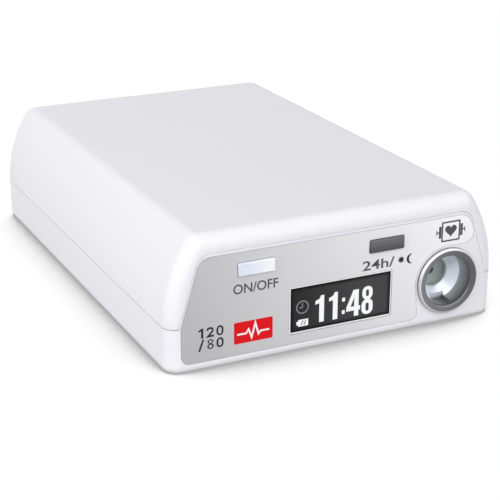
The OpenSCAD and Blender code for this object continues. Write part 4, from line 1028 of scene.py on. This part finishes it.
# %% [markdown]
# ## Air socket
# The socket is turned from one bar, so its half section is enough: a rounded flange, a
# straight entry, a funnel and a pocket with the air hole. Its barbed end takes the air
# tube. A keyway is milled in the foot of the entry.

# %% Air socket
def arc(r0, y0, radius, a0, a1, steps):
    """Points of an arc of a profile, centre (r0, y0), angles in degrees."""
    a = np.radians(np.linspace(a0, a1, steps))
    return np.stack([r0 + radius * np.cos(a), y0 + radius * np.sin(a)], 1)


HOLE_R = 0.8
BODY_R = 5.7
BODY_END_Y = -39.35
TUBE_R = (1.2, 1.45)  # barbed end, between the barbs and on them
BARBS = [(r, y) for y in (-38.6, -36.8, -35.0) for r in TUBE_R]
TIP_Y = -33.35
profile = np.concatenate([
    [(HOLE_R, END_Y), (POCKET_R, END_Y), (POCKET_R, POCKET_Y), (FUNNEL_R, FUNNEL_Y)],
    arc(ENTRY_R + 0.3, MOUTH_Y, 0.3, 180, 270, 6), arc(FLANGE_R - 0.4, FRONT - 0.4, 0.4, -90, 0, 8),
    [(FLANGE_R, MOUTH_Y + 0.1), (BODY_R, MOUTH_Y + 0.1), (BODY_R, BODY_END_Y),
    (TUBE_R[0], BODY_END_Y)], BARBS, [(TUBE_R[0], TIP_Y), (HOLE_R, TIP_Y)]])
socket = turned("socket_metal", profile, *SOCKET, turns=160)
cut(socket, box((SOCKET[0] - 1.5, SOCKET[0] + 1.5), (KEYWAY_Y, -43.8), (SOCKET[1] - 5.3, SOCKET[1] - 2.4)))
dress(socket, "housing", "socket_chrome", ["air_socket"], sharp=28)
print("socket faces", len(socket.data.polygons))

# %% [markdown]
# ## Battery cover
# A flat sliding plate with a tongue along each side, grip grooves and an upstand at the
# back that follows the case's rounded foot.

# %% Battery cover
COVER_FRONT = 14.05
COVER_LOW = 0.15
TONGUE_Z = (0.925, 1.6)
GRIP_X = 8.0
GRIP_Y = 18.05
GRIP_N = 6
GRIP_T = 0.8
GRIP_TOP = 0.55


def battery_cover():
    """Side profile of the cover in Y and Z carried along X, joined to the plate of its
    tongues, with the grip grooves cut across."""
    a = np.radians(np.linspace(-61, 0, 8))
    foot = np.stack([BACK - BASE_R + BASE_R * np.cos(a), BASE_R + BASE_R * np.sin(a)], 1)
    side = np.concatenate([[(COVER_FRONT, COVER_LOW)], foot, [(BACK, UPSTAND), (BACK - WALL, UPSTAND),
        (BACK - WALL, COVER_TOP), (COVER_FRONT, COVER_TOP)]])
    cover = loft("cover_plate", [np.insert(side, 0, x, axis=1) for x in (-COVER_X, COVER_X)])
    cut(cover, box((-TONGUE_X, TONGUE_X), (COVER_FRONT + 0.01, BACK - 0.05), TONGUE_Z), how="UNION")
    starts = [GRIP_Y + 2 * GRIP_T * i for i in range(GRIP_N)]
    grooves = [box((-GRIP_X, GRIP_X), (y, y + GRIP_T), (-1, GRIP_TOP)) for y in starts]
    return cut(cover, joined("grooves", grooves))


cover = dress(battery_cover(), "battery_cover", "case_white", ["battery_cover"])
print("battery cover faces", len(cover.data.polygons))

# %% [markdown]
# ## Print and display
# Letters start as Blender text, are made a mesh and are then fitted to a rectangle measured
# on the panel. Signs are outlines in numbers. All are thin plates on the surface they mark.

# %% Helpers for print
INK_T = 0.02


def letters(name, text, area, y, slot, bold=0.0):
    """Text as a plate that fills area, its left, right, bottom and top, with its front at y."""
    curve = bpy.data.curves.new(name, "FONT")
    curve.body, curve.offset, curve.extrude = text, bold, 0.5
    draft = bpy.data.objects.new(name, curve)
    bpy.context.scene.collection.objects.link(draft)
    mesh = bpy.data.meshes.new_from_object(draft.evaluated_get(bpy.context.evaluated_depsgraph_get()))
    flat = mesh_points(mesh).astype(float)
    low, high = flat.min(0), flat.max(0)
    x0, x1, z0, z1 = area
    x = x0 + (flat[:, 0] - low[0]) / (high[0] - low[0]) * (x1 - x0)
    z = z0 + (flat[:, 1] - low[1]) / (high[1] - low[1]) * (z1 - z0)
    depth = y + INK_T * (flat[:, 2] < 0)
    faces = [list(p.vertices) for p in mesh.polygons]
    bpy.data.objects.remove(draft)
    return dress(put_mesh(name, np.stack([x, depth, z], 1), faces), "housing", slot)


def circle(x, z, r, start=0.0, end=360.0, steps=40):
    """Points on a circle's arc, angles in degrees."""
    a = np.radians(np.linspace(start, end, steps, endpoint=end - start < 360))
    return np.stack([x + r * np.cos(a), z + r * np.sin(a)], 1)


def stroke(points, width):
    """Outline of a line of the given width through the points, with mitred bends."""
    p = np.asarray(points, float)
    d = np.diff(p, axis=0)
    d /= np.linalg.norm(d, axis=1)[:, None]
    n = np.stack([-d[:, 1], d[:, 0]], 1)
    m = np.concatenate([n[:1], n[:-1] + n[1:], n[-1:]])
    m /= (m * np.concatenate([n, n[-1:]])).sum(1)[:, None]
    return np.concatenate([p + m * width / 2, (p - m * width / 2)[::-1]])


def sign(name, outline, y, slot, holes=()):
    """An outline as a thin plate with its front at y."""
    return dress(slab(name, outline, y, y + INK_T, holes), "housing", slot)


# %% [markdown]
# Ink is dull, so its gloss is low. The display's figures give their own light, at a level
# that reads as white and doesn't clip.

# %% Inks and lit figures
for name, colour in (("ink_grey", (0.09, 0.09, 0.1)), ("ink_dark", (0.03, 0.03, 0.035)),
        ("ink_white", (0.9, 0.9, 0.9)), ("tab_red", (0.74, 0.004, 0.008))):
    finish(name, colour, 0.5, gloss=0.15)
lit = principled(finish("display_light", (0.52, 0.52, 0.53), 0.3))
lit["Emission Color"].default_value = (0.96, 0.97, 1.0, 1)
lit["Emission Strength"].default_value = 0.44
finish("display_dim", (0.2, 0.2, 0.21), 0.3)
print("finishes", len(materials))

# %% [markdown]
# The figures are outlines in a unit square: the 1 is a polygon, the 2 a stroke along its
# spine, the 0 a ring, and the 8 two ovals, one on the other.

# %% Figures
def both_bowls(x, z, w, h):
    """Two ovals, one on the other. The half width at height t is the larger of the two of
    a - r + sqrt(r^2 - max(|t - c| - (b - r), 0)^2), an oval's half width a, half height b,
    centre c and corner radius r."""
    t = np.linspace(-h / 2, h / 2, 61)

    def half(c, a, b, r):
        over = np.maximum(np.abs(t - c) - (b - r), 0)
        return np.where(over <= r, a - r + np.sqrt(np.maximum(r * r - over * over, 0)), 0)

    upper_bowl = half(0.265 * h, 0.46 * w, 0.235 * h, 0.44 * w)
    wide = np.maximum(upper_bowl, half(-0.225 * h, 0.5 * w, 0.275 * h, 0.48 * w))
    return np.concatenate([np.stack([x + wide, z + t], 1), np.stack([x - wide, z + t], 1)[::-1]])


spine = [(0.12, 0.68), (0.16, 0.83), (0.32, 0.9), (0.6, 0.9), (0.76, 0.82), (0.8, 0.68), (0.74, 0.54),
    (0.2, 0.1), (0.92, 0.1)]
FIGURES = {
    0: [rectangle(0.5, 0.5, 0.9, 1.0, 0.42, 10), rectangle(0.5, 0.5, 0.42, 0.66, 0.2, 10)],
    1: [[(0.75, 0), (0.75, 1), (0.52, 1), (0.15, 0.82), (0.15, 0.64), (0.47, 0.76), (0.47, 0)]],
    2: [stroke(spine, 0.2)],
    8: [both_bowls(0.5, 0.5, 0.92, 1.0), rectangle(0.5, 0.75, 0.38, 0.26, 0.13),
        rectangle(0.5, 0.27, 0.42, 0.3, 0.15)],
}
print("figures", sorted(FIGURES))

# %% [markdown]
# The panel carries plain words and numbers: ON/OFF below the start key, the hours with a
# sun and a moon below the day and night key, a pair of readings, and a red tab with a
# pulse line. Each sits where the photograph has its print.

# %% Print on the panel
PRINT_Y = FRONT + 0.03
FIGURE_SIZE = (1.5, 1.85)
COLUMNS = (-27.6, -25.9, -24.1)
ROWS = (6.0, 3.75)
letters("on_off", "ON/OFF", (-20.8, -12.2, 13.0, 14.8), PRINT_Y, "ink_grey", 0.012)
letters("day_hours", "24h/", (4.6, 11.2, 13.0, 14.85), PRINT_Y, "ink_grey", 0.012)
readings = ((1, 0, 0), (2, 1, 0), (0, 2, 0), (8, 1, 1), (0, 2, 1))
for i, (digit, column, row) in enumerate(readings):
    place = (COLUMNS[column], ROWS[row])
    outline, *holes = [np.asarray(loop) * FIGURE_SIZE + place for loop in FIGURES[digit]]
    sign(f"plain_number_{i + 1}", outline, PRINT_Y, "ink_dark", holes)
sign("plain_number_slash", stroke([(-27.3, 3.6), (-26.5, 5.75)], 0.34), PRINT_Y, "ink_dark")
rays = circle(0, 0, 1.0, steps=16) * np.where(np.arange(16) % 2, 0.42, 0.72)[:, None]
sign("sun", rays + (12.6, 13.95), PRINT_Y, "ink_dark")
crescent = np.concatenate([circle(14.7, 13.85, 0.95, 75, 285), circle(15.2, 13.85, 0.95, 255, 105)])
sign("moon", crescent, PRINT_Y, "ink_dark")
sign("red_tab", rectangle(-16.97, 5.67, 7.45, 4.05, 0.25), PRINT_Y, "tab_red")
pulse = [(-20.1, 5.4), (-18.4, 5.4), (-17.9, 6.1), (-17.3, 4.5), (-16.6, 7.1), (-16.0, 4.9), (-15.6, 5.4),
    (-13.9, 5.4)]
sign("pulse_line", stroke(pulse, 0.34), PRINT_Y - 0.01, "ink_white")
print("readings", [digit for digit, _, _ in readings])

# %% [markdown]
# The sign beside the keys is a heart in a square frame with two side bars. The heart is the
# curve x = 16 sin^3 t, z = 13 cos t - 5 cos 2t - 2 cos 3t - cos 4t.

# %% Heart sign
HEART_X, HEART_Z = 22.98, 17.85
HEART_SIZE = 0.078  # the heart's curve is 32 of these wide
sign("frame_square", rectangle(HEART_X, HEART_Z, 4.0, 3.9, 0.15), PRINT_Y, "ink_grey",
    [rectangle(HEART_X, HEART_Z, 3.4, 3.3, 0.05)])
for side, word in ((-1, "left"), (1, "right")):
    for name, away, w, h, r in (("bar", 2.3, 0.5, 2.3, 0.08), ("link", 2.75, 0.4, 0.25, 0.05),
            ("end", 3.02, 0.2, 0.9, 0.05)):
        sign(f"side_{name}_{word}", rectangle(HEART_X + side * away, HEART_Z, w, h, r), PRINT_Y, "ink_grey")
t = np.linspace(0, 2 * np.pi, 60, endpoint=False)
high = 13 * np.cos(t) - 5 * np.cos(2 * t) - 2 * np.cos(3 * t) - np.cos(4 * t)
heart = np.stack([16 * np.sin(t) ** 3, high], 1) * HEART_SIZE
sign("heart", heart + (HEART_X, HEART_Z + 0.15), PRINT_Y, "ink_grey")
print("heart width", round(float(np.ptp(heart[:, 0])), 2))

# %% [markdown]
# The display shows the time in bold figures, a dim clock and a battery with two bars. They
# lie just in front of the glass, as lit figures look from outside.

# %% Figures on the display
LIT_Y = FRONT + 0.06
CLOCK_X, CLOCK_Z = -7.37, 8.3


def one(x, z0, z1):
    """A bold 1: a stem with a flag that falls away to its left; x is the stem's right side."""
    return [(x, z0), (x, z1), (x - 0.62, z1), (x - 0.95, z1 - 0.62), (x - 1.75, z1 - 0.95),
        (x - 1.75, z1 - 1.6), (x - 0.95, z1 - 1.45), (x - 0.95, z0)]


def slanted(x):
    """A slanted bar cut from the battery sign; x is the left end of its foot."""
    return [(x, 4.85), (x + 0.2, 4.85), (x + 0.6, 5.75), (x + 0.4, 5.75)]


four = [(3.1, 4.66), (4.0, 4.66), (4.0, 5.75), (4.35, 5.75), (4.35, 6.55), (4.0, 6.55), (4.0, 9.75),
    (2.9, 9.75), (1.5, 6.5), (1.5, 5.75), (3.1, 5.75)]
battery = [(-8.2, 4.65), (-6.2, 4.65), (-6.2, 5.95), (-8.2, 5.95), (-8.2, 5.6), (-8.55, 5.6), (-8.55, 5.0),
    (-8.2, 5.0)]
for name, outline, holes in (
        ("hour_tens", one(-3.05, 4.8, 9.9), []),
        ("hour_ones", one(-0.3, 4.75, 10.0), []),
        ("minute_tens", four, [[(2.35, 6.55), (3.1, 6.55), (3.1, 8.35)]]),
        ("minute_ones", both_bowls(5.8, 7.28, 2.3, 5.45),
            [rectangle(5.8, 8.7, 0.6, 1.3, 0.29), rectangle(5.8, 5.98, 0.66, 1.6, 0.32)]),
        ("colon_high", rectangle(0.9, 8.25, 0.6, 0.75, 0.15), []),
        ("colon_low", rectangle(0.9, 5.82, 0.6, 0.75, 0.15), [])):
    sign(name, outline, LIT_Y, "display_light", holes)
sign("clock_ring", circle(CLOCK_X, CLOCK_Z, 1.27), LIT_Y, "display_dim", [circle(CLOCK_X, CLOCK_Z, 1.03)])
hands = [(CLOCK_X, CLOCK_Z + 0.75), (CLOCK_X, CLOCK_Z - 0.05), (CLOCK_X - 0.63, CLOCK_Z - 0.05)]
sign("clock_hands", stroke(hands, 0.2), LIT_Y, "display_dim")
sign("battery_charge", battery, LIT_Y, "display_light", [slanted(-7.7), slanted(-7.15)])
